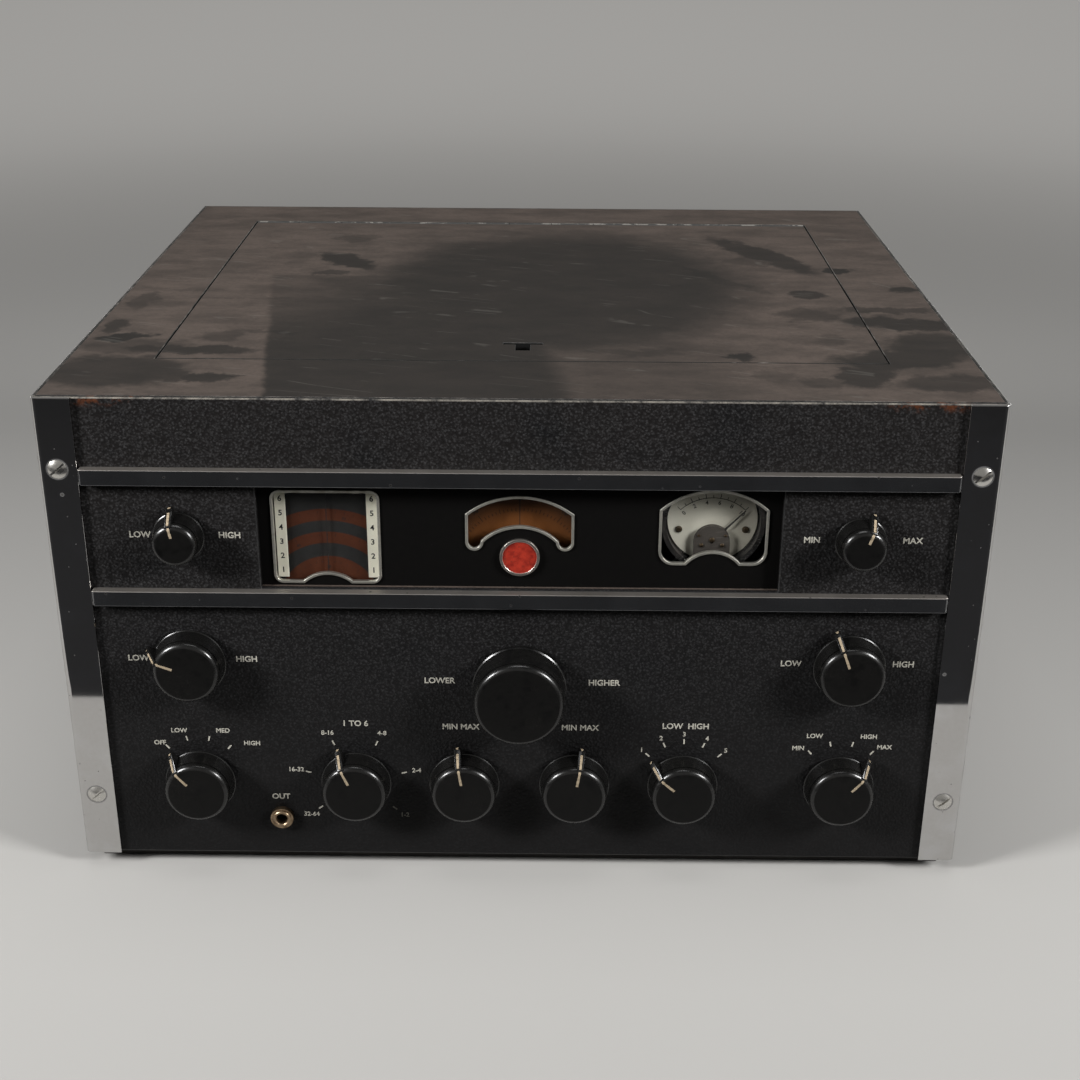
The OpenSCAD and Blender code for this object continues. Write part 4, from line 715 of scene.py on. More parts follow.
def badge_enamel(centre, enamel_radius):
    """Red enamel inside a silvered rim, with a soft unevenness in its depth."""
    material, tree, shader = new_material("badge_enamel", Coat_Roughness=0.08)
    place = place_on(tree)[0]
    far = from_axis(tree, place, centre)
    rim = fade(tree, far, enamel_radius - 0.1 * mm, enamel_radius + 0.1 * mm)
    depth = fade(tree, noise(tree, place, 4 * mm, 4.0), 0.3, 0.65)
    red = mix(tree, depth, (0.19, 0.014, 0.009, 1), (0.37, 0.032, 0.017, 1))
    worn = fade(tree, noise(tree, place, 1.4 * mm, 4.0), 0.6, 0.7, 0.0, 0.6)
    red = mix(tree, worn, red, (0.10, 0.025, 0.016, 1))
    link(tree, mix(tree, rim, red, (0.50, 0.46, 0.42, 1)), shader.inputs["Base Color"])
    link(tree, rim, shader.inputs["Metallic"])
    link(tree, fade(tree, rim, 0.0, 1.0, 0.22, 0.38), shader.inputs["Roughness"])
    link(tree, fade(tree, rim, 0.0, 1.0, 0.6, 0.0), shader.inputs["Coat Weight"])
    return material


badge_low, badge_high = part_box("badge")
badge_edge = 1.5 * mm
dress("badge", badge_enamel((badge_low + badge_high) / 2, (badge_high.x - badge_low.x) / 2 - badge_edge))
soften("badge", 0.25 * mm)

# Main dial: a printed disc on the gang's shaft with six ring scales, brick orange and dark grey in
# turn. A white strip numbered 1 to 6 stands on each side of it, and a wire crosses its middle.
joints = {joint["name"]: Vector(joint["pos_m"]) for joint in frame["joints"]}
orange_rings = [(17.5, 26.7), (34.2, 40.6), (47.0, 53.5)]


def main_dial_card(axis):
    """Printed card: orange rings on dark grey, uneven with age."""
    material, tree, shader = new_material("main_dial_card", Roughness=0.6, Specular_IOR_Level=0.12)
    place = place_on(tree)[0]
    far = from_axis(tree, place, axis)
    age = noise(tree, place, 7 * mm, 5.0, 0.65)
    colour = mix(tree, age, (0.010, 0.010, 0.010, 1), (0.021, 0.021, 0.020, 1))
    orange = mix(tree, age, (0.030, 0.009, 0.005, 1), (0.074, 0.023, 0.010, 1))
    for inner, outer in orange_rings:
        inside = times(tree, fade(tree, far, inner * mm, (inner + 0.3) * mm),
                      fade(tree, far, outer * mm, (outer + 0.3) * mm, 1.0, 0.0))
        colour = mix(tree, inside, colour, orange)
    link(tree, colour, shader.inputs["Base Color"])
    return material


def on_disc(axis, face_y, angle, radius):
    """A place on a disc's front face at a clock angle and radius, its Y pointing outwards."""
    centre = forward(axis.x, face_y, axis.z)
    return centre @ Matrix.Rotation(-math.radians(angle), 4, "Z") @ Matrix.Translation((0, radius, 0))


def join(mesh, added):
    """Adds a second mesh to the first and frees the second."""
    scratch = bpy.data.meshes.new("scratch")
    added.to_mesh(scratch)
    added.free()
    mesh.from_mesh(scratch)
    bpy.data.meshes.remove(scratch)


print_depth = 0.04 * mm
dial_axis = joints["dial_turn"]
dial_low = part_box("main_dial")[0]
dress("main_dial", main_dial_card(dial_axis))
scale_radii = [22.0, 30.5, 37.4, 43.8, 50.2, 57.0]
scale_sweep = 120
dial_words = []
dial_marks = bmesh.new()
for ring, radius in enumerate(scale_radii):
    steps = 30 + 4 * ring
    for i in range(steps + 1):
        angle = (i / steps - 0.5) * 2 * scale_sweep
        long = 1.8 * mm if i % 5 == 0 else 1.0 * mm
        bar(dial_marks, (0.22 * mm, long, print_depth),
            on_disc(dial_axis, dial_low.y, angle, (radius + 1.6) * mm))
        if i % 10 == 5:
            place = on_disc(dial_axis, dial_low.y, angle, (radius - 1.4) * mm)
            dial_words.append((str(10 * (i // 10) + 10 * (ring + 1)), 1.5 * mm, place))
join(dial_marks, words_mesh(dial_words, print_depth))
dark_ink = ink("dark_ink", (0.012, 0.012, 0.012, 1))
new_piece("main_dial_scale", dial_marks, "dial_drive", dark_ink)


def index_card():
    """White card, yellowed in clouds."""
    material, tree, shader = new_material("index_card", Roughness=0.55)
    place = place_on(tree)[0]
    age = noise(tree, place, 9 * mm, 4.0)
    link(tree, mix(tree, age, (0.86, 0.84, 0.70, 1), (0.76, 0.73, 0.60, 1)), shader.inputs["Base Color"])
    return material


index_low, index_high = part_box("index_strips")
strip_half = 23.8 * mm
index_face = forward(dial_axis.x, index_low.y, 0)
index_step = (index_high.z - index_low.z) / 6
index_words = []
for side in (-1, 1):
    for i in range(6):
        height = index_low.z + (i + 0.5) * index_step
        place = index_face @ Matrix.Translation((side * strip_half, height, 0))
        index_words.append((str(i + 1), 3 * mm, place))
dress("index_strips", index_card())
new_piece("index_numbers", words_mesh(index_words, print_depth), "cabinet", dark_ink)

# Vernier dial: a translucent amber disc on the vernier shaft, divided into a hundred, with painted shade
# darkening it towards its edge. It turns behind a fixed black hairline on the pane.
vernier_axis = joints["vernier_turn"]
vernier_low, vernier_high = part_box("vernier_dial")


def vernier_card(axis, radius):
    """Amber celluloid, clouded, with painted shade darkening it outwards."""
    material, tree, shader = new_material("vernier_card", Roughness=0.45, Specular_IOR_Level=0.12)
    place = place_on(tree)[0]
    far = from_axis(tree, place, axis)
    # Painted shade: the amber darkens towards the disc's edge.
    outer_painted_shade = fade(tree, far, 0.62 * radius, 0.9 * radius)
    age = noise(tree, place, 11 * mm, 5.0)
    amber = mix(tree, age, (0.125, 0.044, 0.013, 1), (0.180, 0.068, 0.021, 1))
    link(tree, mix(tree, outer_painted_shade, amber, (0.045, 0.022, 0.012, 1)), shader.inputs["Base Color"])
    return material


vernier_radius = (vernier_high.x - vernier_low.x) / 2
dress("vernier_dial", vernier_card(vernier_axis, vernier_radius))
vernier_marks = bmesh.new()
vernier_words = []
divisions = 100
for i in range(divisions):
    angle = 360 * i / divisions
    long = 4 * mm if i % 10 == 0 else 2.4 * mm if i % 5 == 0 else 1.6 * mm
    bar(vernier_marks, (0.3 * mm, long, print_depth),
        on_disc(vernier_axis, vernier_low.y, angle, 33 * mm + long / 2))
    if i % 10 == 0:
        vernier_words.append((str(i), 2.6 * mm, on_disc(vernier_axis, vernier_low.y, angle, 40 * mm)))
join(vernier_marks, words_mesh(vernier_words, print_depth))
new_piece("vernier_scale", vernier_marks, "vernier", dark_ink)

pane_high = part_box("window_panes")[1]
hairline = bmesh.new()
pane_back = forward(0, pane_high.y + 0.3 * mm, 0)
wire = 0.35 * mm
for x, z, length in ((0, vernier_axis.z + 34 * mm, 16 * mm), (dial_axis.x, dial_axis.z + 40 * mm, 48 * mm)):
    bar(hairline, (wire, length, wire), pane_back @ Matrix.Translation((x, z, 0)))
new_piece("cursor_wires", hairline, "cabinet", dark_ink)

# Dial lamps: two small bulbs in turned brass sockets, clipped to the front bearing plate above the
# dials, which they light from behind the dial panel.
lamp_brass = plated("lamp_brass", (0.60, 0.50, 0.28, 1), (0.40, 0.32, 0.17, 1), 0.3, (fine, slow, fine))
dress("dial_lamps", lamp_brass)

# Meter: a black moulded case behind its pane, with a cream card, a thin needle and an arched grey
# cover over the movement. Two screws hold the card.
dress("meter_case", lacquer("meter_moulding", (0.012, 0.012, 0.012, 1), 0.25, 0.5 * mm, 0.004 * mm, 0.3))
card_low, card_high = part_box("meter_scale")
needle_axis = joints["needle_swing"]
card_centre = (card_low + card_high) / 2


def meter_card():
    """Cream enamel card, clouded, with painted shade darkening it towards the right."""
    material, tree, shader = new_material("meter_card", Roughness=0.5)
    place = place_on(tree)[0]
    age = noise(tree, place, 14 * mm, 4.0)
    cream = mix(tree, age, (0.66, 0.64, 0.55, 1), (0.54, 0.52, 0.43, 1))
    x = parts(tree, place)[0]
    # Painted shade: the card darkens towards its right side.
    right_painted_shade = fade(tree, x, card_low.x + 9 * mm, card_high.x - 5 * mm, 0.0, 0.75)
    link(tree, mix(tree, right_painted_shade, cream, (0.22, 0.205, 0.165, 1)), shader.inputs["Base Color"])
    return material


dress("meter_scale", meter_card())
dress("meter_movement", lacquer("movement_paint", (0.022, 0.019, 0.015, 1), 0.45, 0.5 * mm, 0.01 * mm, 0.5))
dress("meter_needle", dark_ink)
meter_marks = bmesh.new()
meter_words = []
needle_swing = 44
scale_radius = 24.3 * mm
meter_steps = 10
for i in range(meter_steps + 1):
    angle = (i / meter_steps - 0.5) * 2 * needle_swing
    long = 2.4 * mm if i % 2 == 0 else 1.5 * mm
    bar(meter_marks, (0.4 * mm, long, print_depth),
        on_disc(needle_axis, card_low.y, angle, scale_radius + long / 2))
    if i % 2 == 0:
        place = on_disc(needle_axis, card_low.y, angle, scale_radius - 2.6 * mm)
        meter_words.append((str(i), 2.2 * mm, place))
arc_steps = 40
for i in range(arc_steps):
    angle = ((i + 0.5) / arc_steps - 0.5) * 2 * needle_swing
    chord = scale_radius * math.radians(2 * needle_swing / arc_steps) * 1.05
    bar(meter_marks, (chord, 0.4 * mm, print_depth), on_disc(needle_axis, card_low.y, angle, scale_radius))
join(meter_marks, words_mesh(meter_words, print_depth))
new_piece("meter_marks", meter_marks, "cabinet", dark_ink)


def lathe(profile, segments):
    """A solid of revolution about Z from (radius, height) points in order, closed on the axis."""
    mesh = bmesh.new()
    rings = []
    for radius, height in profile:
        if radius == 0:
            rings.append([mesh.verts.new((0, 0, height))] * segments)
        else:
            turns = [2 * math.pi * i / segments for i in range(segments)]
            rings.append([mesh.verts.new((radius * math.cos(turn), radius * math.sin(turn), height))
                          for turn in turns])
    for low, high in zip(rings, rings[1:]):
        for i in range(segments):
            j = (i + 1) % segments
            corners = list(dict.fromkeys((low[i], low[j], high[j], high[i])))
            mesh.faces.new(corners)
    bmesh.ops.recalc_face_normals(mesh, faces=mesh.faces)
    return mesh


def smooth_sides(mesh, limit=35):
    """Shades a mesh smooth, with a crease wherever two faces meet at more than limit degrees."""
    for face in mesh.faces:
        face.smooth = True
    for edge in mesh.edges:
        edge.smooth = len(edge.link_faces) == 2 and edge.calc_face_angle() < math.radians(limit)


cover_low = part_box("meter_movement")[0]


def screw_heads(places):
    """Round screw heads at (x, y, z, radius) places, facing forwards."""
    joined = bmesh.new()
    for x, y, z, radius in places:
        profile = [(0, 0), (radius, 0), (radius, 0.4 * mm), (0.7 * radius, 0.7 * mm), (0, 0.85 * mm)]
        head = lathe(profile, 24)
        smooth_sides(head)
        head.transform(forward(x, y, z))
        join(joined, head)
    return joined


screw_x, screw_z = 17.5 * mm, 195 * mm
bronzed = plated("bronzed_screw", (0.085, 0.062, 0.038, 1), (0.045, 0.032, 0.020, 1), 0.35,
                 (fine, slow, fine), 2 * mm)
card_screws = [(card_centre.x + side * screw_x, card_low.y, panel_low.z + screw_z, 1.9 * mm)
               for side in (-1, 1)]
new_piece("card_screws", screw_heads(card_screws), "cabinet", bronzed)
cover_screws = [(card_centre.x + x * mm, cover_low.y, needle_axis.z + z * mm, radius * mm)
                for x, z, radius in ((-5.5, -1.5, 1.1), (5.5, -1.5, 1.1), (0, 1.5, 1.4), (-7.0, 4.0, 0.8),
                                     (7.0, 4.0, 0.8))]
new_piece("cover_screws", screw_heads(cover_screws), "cabinet", bronzed)

# Back fastenings: countersunk nickelled screws with a cut across each head, flush with the back sheet,
# which they hold to the flanges of the cabinet. The terminal posts have the same cut.
back_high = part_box("cabinet_back")[1]
back_radius, back_proud, cut_width, cut_proud = 3.8 * mm, 0.06 * mm, 0.9 * mm, 0.03 * mm
back_places = [(x, 255) for x in (-226, -75, 75, 226)] + [(x, z) for x in (-226, 226) for z in (14, 134)]
nickel = plated("screw_plate", (0.50, 0.48, 0.44, 1), (0.30, 0.28, 0.25, 1), 0.3, (fine, fine, slow),
                4 * mm)
heads = bmesh.new()
cuts = bmesh.new()


def backward(x, y, z, turn):
    """A place whose Z axis points out of the back, turned about it."""
    facing = Matrix.Translation((x, y, z)) @ Matrix.Rotation(-math.pi / 2, 4, "X")
    return facing @ Matrix.Rotation(turn, 4, "Z")


for i, (x, z) in enumerate(back_places):
    spot = backward(x * mm, back_high.y, panel_low.z + z * mm, 0.7 * i)
    head = lathe([(0, -0.5 * mm), (back_radius, -0.5 * mm), (back_radius, 0),
                  (back_radius - 0.3 * mm, back_proud), (0, back_proud)], 32)
    head.transform(spot)
    join(heads, head)
    bar(cuts, (1.8 * back_radius, cut_width, cut_proud), spot @ Matrix.Translation((0, 0, back_proud)))
for i, (x, radius) in enumerate(posts):
    spot = backward(x, terminal_high.y, terminal_z, 0.9 * i + 0.3)
    bar(cuts, (1.7 * radius, cut_width, cut_proud), spot)
new_piece("back_screws", heads, "cabinet", nickel)
new_piece("screw_cuts", cuts, "cabinet", dark_ink)

# Side strips, screws and bars: chromed steel strips folded round the cabinet's front corners, each held
# by two slotted screws, and two chromed bars above and below the dials, dulled along their tops.

# Pits: small round spots where the plating has lifted
pits, pit_in, pit_out = new_group(
    "pits", {"Place": (0.0, 0.0, 0.0), "Spacing": 4 * mm, "Share": 0.4}, ["Mask"])
pit_cells = add(pits, "TexVoronoi", {
    "Vector": pit_in["Place"], "Scale": calc(pits, "DIVIDE", 1.0, pit_in["Spacing"])})
pit_pick = add(pits, "SeparateColor", {0: pit_cells.outputs["Color"]})
pit_spot = fade(pits, pit_cells.outputs["Distance"], 0.07, 0.16, 1.0, 0.0)
pit_kept = calc(pits, "LESS_THAN", pit_pick.outputs[0], pit_in["Share"])
link(pits, times(pits, pit_spot, pit_kept), pit_out["Mask"])


def chrome(name, bright, roughness, spacing, share, haze_rough, dirty_places=(), dirt_radius=0.0):
    """Old chrome: bright, pitted, with hazy patches, and dirt round each of the given places."""
    material, tree, shader = new_material(name)
    place = place_on(tree)[0]
    pit = use(tree, pits, {"Place": place, "Spacing": spacing, "Share": share})
    speck = use(tree, pits, {"Place": place, "Spacing": 0.3 * spacing, "Share": 0.5 * share})
    haze = use(tree, dust_film, {"Place": place, "Patch": 25 * mm, "Cover": 0.45})
    spots = calc(tree, "MAXIMUM", pit.outputs["Mask"], speck.outputs["Mask"])
    for centre in dirty_places:
        away = vector(tree, "DISTANCE", place, tuple(centre))
        dirt = fade(tree, away, dirt_radius, dirt_radius + 1.2 * mm, 0.9, 0.0)
        spots = calc(tree, "MAXIMUM", spots, dirt)
    tone = mix(tree, times(tree, haze.outputs["Mask"], 0.3), bright, (0.36, 0.33, 0.29, 1))
    tone = mix(tree, times(tree, spots, 0.85), tone, (0.022, 0.018, 0.015, 1))
    link(tree, tone, shader.inputs["Base Color"])
    link(tree, fade(tree, spots, 0.0, 1.0, 1.0, 0.4), shader.inputs["Metallic"])
    rough = calc(tree, "ADD", fade(tree, haze.outputs["Mask"], 0.0, 1.0, roughness, haze_rough),
                 times(tree, spots, 0.35))
    link(tree, rough, shader.inputs["Roughness"])
    return material


strip_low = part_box("trim_strips")[0]
strip_screws = [(side * 234.5 * mm, strip_low.y, panel_low.z + z * mm)
                for side in (-1, 1) for z in (38.7, 232)]
dress("trim_strips", chrome("strip_chrome", (0.58, 0.58, 0.58, 1), 0.025, 9 * mm, 0.22, 0.05,
                            strip_screws, 5 * mm))
soften("trim_strips", 0.3 * mm)
dress("trim_screws", chrome("screw_nickel", (0.66, 0.65, 0.62, 1), 0.16, 3 * mm, 0.3, 0.3))


def bar_chrome():
    """Chrome whose front face is coloured dark as painted shade, and whose top is rubbed dull and brownish,
    its paler colour partly a painted highlight.
    """
    material, tree, shader = new_material("bar_chrome")
    place, normal = place_on(tree)
    streaks = noise(tree, place, 24 * mm, 5.0, 0.65)
    # Painted shade and highlight: the front face takes a dark copy of the plate colour, the top a paler
    # rubbed one.
    topside = fade(tree, normal[2], 0.3, 0.8)
    front = mix(tree, streaks, (0.10, 0.102, 0.107, 1), (0.25, 0.255, 0.265, 1))
    top = mix(tree, streaks, (0.22, 0.20, 0.18, 1), (0.42, 0.39, 0.36, 1))
    pit = use(tree, pits, {"Place": place, "Spacing": 6 * mm, "Share": 0.3})
    plate = mix(tree, topside, front, top)
    link(tree, mix(tree, pit.outputs["Mask"], plate, (0.02, 0.018, 0.016, 1)), shader.inputs["Base Color"])
    link(tree, fade(tree, pit.outputs["Mask"], 0.0, 1.0, 0.95, 0.3), shader.inputs["Metallic"])
    link(tree, fade(tree, topside, 0.0, 1.0, 0.17, 0.5), shader.inputs["Roughness"])
    return material


dress("trim_bars", bar_chrome())
soften("trim_bars", 0.4 * mm)

# Pointer knobs: moulded black bakelite, tapered, with a groove behind the rounded rim of the face and
# a fin on one side. A cream line is wiped into a cut across the face and down the fin's ridge.


def bakelite(name, gloss, polish):
    """Black moulding: gloss is its mirror strength and polish its roughness, both uneven with fine
    scratches and a greasy film."""
    material, tree, shader = new_material(name, Specular_IOR_Level=gloss)
    place = place_on(tree)[0]
    reach = (12 * mm, 1.6 * mm, 1.6 * mm)
    scratch_marks = use(tree, hairlines, {"Place": place, "Reach": reach, "Turn": 1.2})
    film = use(tree, dust_film, {"Place": place, "Patch": 9 * mm, "Cover": 0.5})
    colour = mix(tree, film.outputs["Mask"], (0.0025, 0.0025, 0.0025, 1), (0.0050, 0.0048, 0.0045, 1))
    colour = mix(tree, times(tree, scratch_marks.outputs["Mask"], 0.06), colour, (0.12, 0.11, 0.10, 1))
    link(tree, colour, shader.inputs["Base Color"])
    link(tree, fade(tree, film.outputs["Mask"], 0.0, 1.0, polish, polish + 0.1), shader.inputs["Roughness"])
    return material


knob_rim = 3.2


def knob_profile(base_r, face_r, length, skirt_r=None, skirt=0.0):
    """Half section of a knob from the shaft's hole round the back, up the side and over the face."""
    rim, groove_back, groove_w, groove_d = knob_rim, 3.6, 0.8, 0.7
    hole_r, recess_r, recess_d, crown = 3.3, 9.4, 4.7, 3.5
    rim_low = length - rim

    def side(height):
        """Radius of the tapered side at a height."""
        return base_r + (face_r - base_r) * height / rim_low
    points = [(0, length - crown), (hole_r, length - crown), (hole_r, recess_d), (recess_r, recess_d),
              (recess_r, 0)]
    if skirt_r:
        points += [(skirt_r - 0.5, 0), (skirt_r, 0.5), (skirt_r, skirt - 0.6), (skirt_r - 0.6, skirt),
                   (side(skirt), skirt)]
    else:
        points += [(base_r - 0.4, 0), (base_r, 0.4), (base_r, 1.0), (side(1.0) - 0.25, 1.3)]
    groove = length - groove_back - groove_w
    points += [(side(groove), groove), (face_r - groove_d, groove), (face_r - groove_d, groove + groove_w),
               (side(groove + groove_w), groove + groove_w)]
    for i in range(7):
        turn = math.pi / 2 * i / 6
        points.append((face_r - rim + rim * math.cos(turn), rim_low + rim * math.sin(turn)))
    points += [(0.5 * face_r, length - 0.05), (0, length - 0.08)]
    return [(radius * mm, height * mm) for radius, height in points]


def fin_mesh(face_r, tip_r, length):
    """The pointer's fin: a plate on edge, with its upper edges eased."""
    lift, tip_height, top_drop, inset, root, half = 0.8, 2.5, 0.6, 0.4, 9.9, 1.8
    outline = [(root, lift), (tip_r, lift), (tip_r, lift + tip_height), (face_r - inset, length - top_drop),
               (root, length - top_drop)]
    mesh = bmesh.new()
    sides = [[mesh.verts.new((x * mm, y * mm, z * mm)) for y, z in outline] for x in (-half, half)]
    mesh.faces.new(sides[0])
    mesh.faces.new(sides[1])
    count = len(outline)
    for i in range(count):
        j = (i + 1) % count
        mesh.faces.new((sides[0][i], sides[0][j], sides[1][j], sides[1][i]))
    bmesh.ops.recalc_face_normals(mesh, faces=mesh.faces)
    eased = [edge for edge in mesh.edges if min(v.co.y for v in edge.verts) > (root + 1) * mm
             or max(v.co.z for v in edge.verts) - min(v.co.z for v in edge.verts) > 1 * mm]
    bmesh.ops.bevel(mesh, geom=eased, offset=0.5 * mm, segments=2, affect="EDGES", profile=0.5)
    return mesh


def line_mesh(face_r, tip_r, length):
    """The cream line as a thin ribbon over the face, the rim and the fin's ridge."""
    rim, rise, half, thick = knob_rim, 0.05, 0.65, 0.25
    path = [(0.41 * face_r, length), (0.6 * face_r, length), (face_r - rim, length)]
    for i in range(1, 4):
        turn = math.pi / 2 - math.radians(17) * i
        path.append((face_r - rim + rim * math.cos(turn), length - rim + rim * math.sin(turn)))
    path += [(face_r + 0.15, length - 0.9), (0.5 * (face_r + tip_r), 0.5 * (length + 2.4)),
             (tip_r - 0.3, 3.5), (tip_r + 0.02, 2.9), (tip_r + 0.02, 1.4)]
    mesh = bmesh.new()
    rows = []
    for i, (y, z) in enumerate(path):
        ahead, behind = path[min(i + 1, len(path) - 1)], path[max(i - 1, 0)]
        along = Vector((ahead[0] - behind[0], ahead[1] - behind[1])).normalized()
        out = Vector((-along.y, along.x))
        width = half + 0.12 * math.sin(2.7 * i)
        corners = []
        for x, lift in ((-width, -thick), (-width, rise), (width, rise), (width, -thick)):
            corners.append(mesh.verts.new((x * mm, (y + out.x * lift) * mm, (z + out.y * lift) * mm)))
        rows.append(corners)
    for low, high in zip(rows, rows[1:]):
        for i in range(4):
            j = (i + 1) % 4
            mesh.faces.new((low[i], low[j], high[j], high[i]))
    mesh.faces.new(rows[0])
    mesh.faces.new(rows[-1])
    bmesh.ops.recalc_face_normals(mesh, faces=mesh.faces)
    return mesh


def united(name, first, second):
    """One closed mesh of two that overlap."""
    made = []
    for label, mesh in (("first", first), ("second", second)):
        data = bpy.data.meshes.new(label)
        mesh.to_mesh(data)
        mesh.free()
        made.append(bpy.data.objects.new(label, data))
        bpy.context.scene.collection.objects.link(made[-1])
    join = made[0].modifiers.new("join", "BOOLEAN")
    join.operation = "UNION"
    join.object = made[1]
    join.solver = "EXACT"
    settled = bpy.context.evaluated_depsgraph_get()
    whole = bmesh.new()
    shape = bpy.data.meshes.new_from_object(made[0].evaluated_get(settled))
    whole.from_mesh(shape)
    bpy.data.meshes.remove(shape)
    for piece in made:
        data = piece.data
        bpy.data.objects.remove(piece)
        bpy.data.meshes.remove(data)
    smooth_sides(whole)
    return whole


def pointer_turn(node, axis):
    """Clock angle of a knob's pointer, from its farthest corner."""
    away = [corner.co - axis for corner in nodes[node].data.vertices]
    tips = sorted(away, key=lambda v: v.x * v.x + v.z * v.z)[-8:]
    tip = sum(tips, Vector())
    return math.atan2(tip.x, tip.z)


black_bakelite = bakelite("bakelite", 0.5, 0.18)
rubbed_face = bakelite("bakelite_face", 0.11, 0.36)


def dull_face(mesh, length):
    """The flat of a knob's face, just short of its full length, takes the second material."""
    for face in mesh.faces:
        face.material_index = int(min(corner.co.z for corner in face.verts) > (length - 0.15) * mm)


pointer_cream = ink("pointer_cream", (0.36, 0.29, 0.20, 1))
knob_length = 14.2
large = dict(base_r=19.3, face_r=17.6, tip_r=23.6)
small = dict(base_r=13.4, face_r=11.6, tip_r=16.8)
for name in controls:
    size = small if name in ("tone", "noise") else large
    axis = joints[name + "_turn"]
    knob_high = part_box(name + "_knob")[1]
    turn = pointer_turn(name + "_knob", axis)
    spot = forward(axis.x, knob_high.y, axis.z) @ Matrix.Rotation(-turn, 4, "Z")
    body = lathe(knob_profile(size["base_r"], size["face_r"], knob_length), 96)
    whole = united(name, body, fin_mesh(size["face_r"], size["tip_r"], knob_length))
    line = line_mesh(size["face_r"], size["tip_r"], knob_length)
    dull_face(whole, knob_length)
    whole.transform(spot)
    line.transform(spot)
    knob = new_piece(name + "_pointer_knob", whole, name + "_control", black_bakelite)
    knob.data.materials.append(rubbed_face)
    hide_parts(name + "_knob")
    new_piece(name + "_pointer_line", line, name + "_control", pointer_cream)

# Tuning knob: a larger moulding of the same bakelite with a plain face and a thin skirt against the
# panel. A set screw in its side holds it to the tuning shaft.
tuning_axis = joints["tuning_turn"]
tuning_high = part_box("tuning_knob")[1]
tuning_length = 21.4
tuning = lathe(knob_profile(24.6, 24.0, tuning_length, 25.4, 3.0), 128)
smooth_sides(tuning)
dull_face(tuning, tuning_length)
tuning.transform(forward(tuning_axis.x, tuning_high.y, tuning_axis.z))
tuning_knob = new_piece("tuning_hand_knob", tuning, "tuning", black_bakelite)
tuning_knob.data.materials.append(rubbed_face)
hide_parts("tuning_knob")

# Phones jack: a nickelled brass bush and nut, browned with age, which clamp the socket's body to the
# back of the panel. The bush's mouth is rounded for the plug.
jack_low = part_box("phones_jack")[0]
jack_metal = plated("jack_metal", (0.32, 0.24, 0.16, 1), (0.15, 0.10, 0.06, 1), 0.32,
                    (fine, slow, fine), 3 * mm)
dress("phones_jack", jack_metal)
jack_x, jack_z, jack_bore = -132.4 * mm, 24.3 * mm, 3.25 * mm
bush = lathe([(jack_bore, -1.0 * mm), (5.0 * mm, -1.0 * mm), (5.0 * mm, 0.5 * mm), (4.6 * mm, 0.9 * mm),
              (3.7 * mm, 0.9 * mm), (jack_bore, 0.5 * mm), (jack_bore, -1.0 * mm)], 64)
smooth_sides(bush)
bush.transform(forward(jack_x, jack_low.y, panel_low.z + jack_z))
new_piece("jack_bush_ring", bush, "cabinet", jack_metal)

# Lid: a flat sheet closing flush on a lip in the top, painted and dusted with it, with a T-shaped
# finger pull. It turns on a piano hinge whose knuckles are rubbed bright along the top.
dress("lid_panel", dusty_top, worn_edge("lid_edge", paint_black, bare_steel, 0.02))
soften("lid_panel", 0.35 * mm, worn=True)


def hinge_steel(crest):
    """Blacked steel, rubbed bright in spots on the crest of the knuckles."""
    material, tree, shader = new_material("hinge_steel")
    place = place_on(tree)[0]
    xyz = parts(tree, place)
    spots = fade(tree, noise(tree, place, 13 * mm, 4.0, 0.7), 0.5, 0.62)
    rubbed = times(tree, spots, fade(tree, xyz[2], crest - 0.5 * mm, crest - 0.1 * mm))
    steel = mix(tree, rubbed, (0.03, 0.029, 0.027, 1), (0.46, 0.44, 0.40, 1))
    link(tree, steel, shader.inputs["Base Color"])
    link(tree, fade(tree, rubbed, 0.0, 1.0, 0.2, 0.9), shader.inputs["Metallic"])
    link(tree, fade(tree, rubbed, 0.0, 1.0, 0.55, 0.35), shader.inputs["Roughness"])
    return material


hinge_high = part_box("lid_moving_leaf")[1]
hinge = hinge_steel(hinge_high.z)
for name in ("lid_hinge_leaf", "lid_moving_leaf"):
    dress(name, hinge)

# Stage: a pale grey sweep that is floor and wall in one, two soft lamps in front, a weak one overhead and
# two low ones behind that leave the floor alone, and a dark cloth that only shows in polished metal.


far_from, far_to = 0.8, 2.6


def stage_surface(name, mesh, colour, bounce, far_colour=(0, 0, 0, 1)):
    """A plain matt surface round the object, which throws back less light than it shows. Its far parts
    show at least their own colour."""
    data = bpy.data.meshes.new(name)
    mesh.to_mesh(data)
    mesh.free()
    material, tree, shader = new_material(name, Roughness=0.9, Specular_IOR_Level=0.1)
    seen = add(tree, "LightPath").outputs
    mirrored = calc(tree, "MAXIMUM", seen["Is Glossy Ray"], seen["Is Transmission Ray"])
    shown = calc(tree, "MAXIMUM", seen["Is Camera Ray"], mirrored)
    link(tree, mix(tree, shown, bounce, colour), shader.inputs["Base Color"])
    place = place_on(tree)[0]
    away = vector(tree, "LENGTH", place)
    far = times(tree, shown, fade(tree, away, far_from, far_to))
    link(tree, mix(tree, far, (0, 0, 0, 1), far_colour), shader.inputs["Emission Color"])
    shader.inputs["Emission Strength"].default_value = 1.0
    data.materials.append(material)
    made = bpy.data.objects.new(name, data)
    bpy.context.scene.collection.objects.link(made)
    return made


room_radius, room_fillet, room_height = 3.4, 1.4, 3.4
sweep = [(0, 0), (room_radius - room_fillet, 0)]
for i in range(1, 17):
    turn = math.pi / 2 * i / 16
    sweep.append((room_radius - room_fillet * (1 - math.sin(turn)), room_fillet * (1 - math.cos(turn))))
sweep.append((room_radius, room_height))
room = lathe(sweep, 128)
bmesh.ops.reverse_faces(room, faces=room.faces)
for face in room.faces:
    face.smooth = True
studio_sweep = stage_surface("studio_sweep", room, (0.37, 0.362, 0.348, 1), (0.06, 0.06, 0.058, 1),
                             (0.27, 0.264, 0.253, 1))

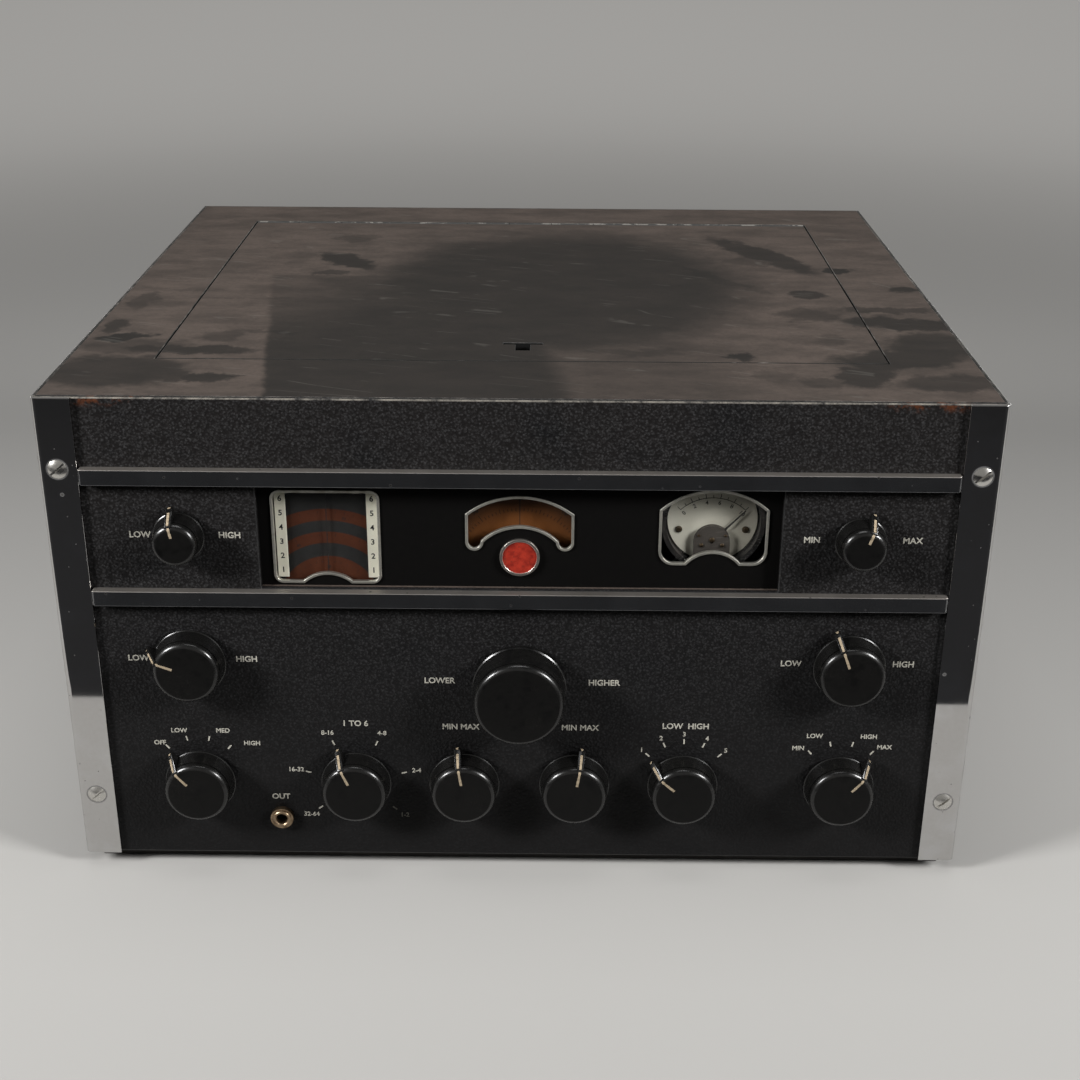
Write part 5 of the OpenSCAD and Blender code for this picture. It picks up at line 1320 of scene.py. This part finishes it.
cloth_front = -0.405
cloth = bmesh.new()
corners = [(-2.0, -2.2), (2.0, -2.2), (2.0, cloth_front), (-2.0, cloth_front)]
cloth.faces.new([cloth.verts.new((x, y, 0.5 * mm)) for x, y in corners])
dark_cloth = stage_surface("dark_cloth", cloth, (0.014, 0.014, 0.015, 1), (0.014, 0.014, 0.015, 1))
dark_cloth.visible_camera = False
dark_cloth.visible_diffuse = False
dark_cloth.visible_transmission = False
dark_cloth.visible_shadow = False


def soft_lamp(name, place, size, power, height=None, spread=180):
    """A softbox aimed at the object's middle, square unless a height is given. Its beam is kept to
    spread degrees."""
    lamp = bpy.data.lights.new(name, "AREA")
    lamp.energy = power
    lamp.shape = "RECTANGLE"
    lamp.size = size
    lamp.size_y = height or size
    lamp.spread = math.radians(spread)
    made = bpy.data.objects.new(name, lamp)
    made.location = place
    made.rotation_euler = (Vector((0, 0, 0.12)) - Vector(place)).to_track_quat("-Z", "Y").to_euler()
    bpy.context.scene.collection.objects.link(made)
    return made


soft_lamp("left_softbox", (-1.5, -0.92, 1.02), 0.46, 17, spread=110)
soft_lamp("right_softbox", (1.5, -0.92, 1.02), 0.46, 15.6, spread=110)
soft_lamp("top_softbox", (0, 0, 2.4), 1.2, 6, spread=110)
off_floor = bpy.data.collections.new("off_floor")
off_floor.objects.link(studio_sweep)
off_floor.collection_objects[0].light_linking.link_state = "EXCLUDE"
for side in (-1, 1):
    rear_lamp = soft_lamp("rear_softbox", (1.2 * side, 1.5, 0.15), 0.9, 12, 0.22)
    rear_lamp.light_linking.receiver_collection = off_floor
    rear_lamp.visible_camera = False

world = bpy.data.worlds.new("studio")
bpy.context.scene.world = world
world.use_nodes = True
world.node_tree.nodes["Background"].inputs["Color"].default_value = (0.30, 0.30, 0.31, 1)
world.node_tree.nodes["Background"].inputs["Strength"].default_value = 0.25

camera = bpy.data.objects.new("camera", bpy.data.cameras.new("camera"))
camera.data.sensor_width = 36
camera.data.lens = 54.145
camera.data.clip_start = 0.01
yaw, pitch, roll = 0.006, -0.415, 0.006
camera.rotation_euler = (Matrix.Rotation(yaw, 3, "Z") @ Matrix.Rotation(math.pi / 2 + pitch, 3, "X")
                         @ Matrix.Rotation(roll, 3, "Z")).to_euler()
camera.location = (0.015218, -0.97878, 0.54147)
bpy.context.scene.collection.objects.link(camera)
bpy.context.scene.camera = camera
bpy.context.scene.view_settings.view_transform = "Standard"
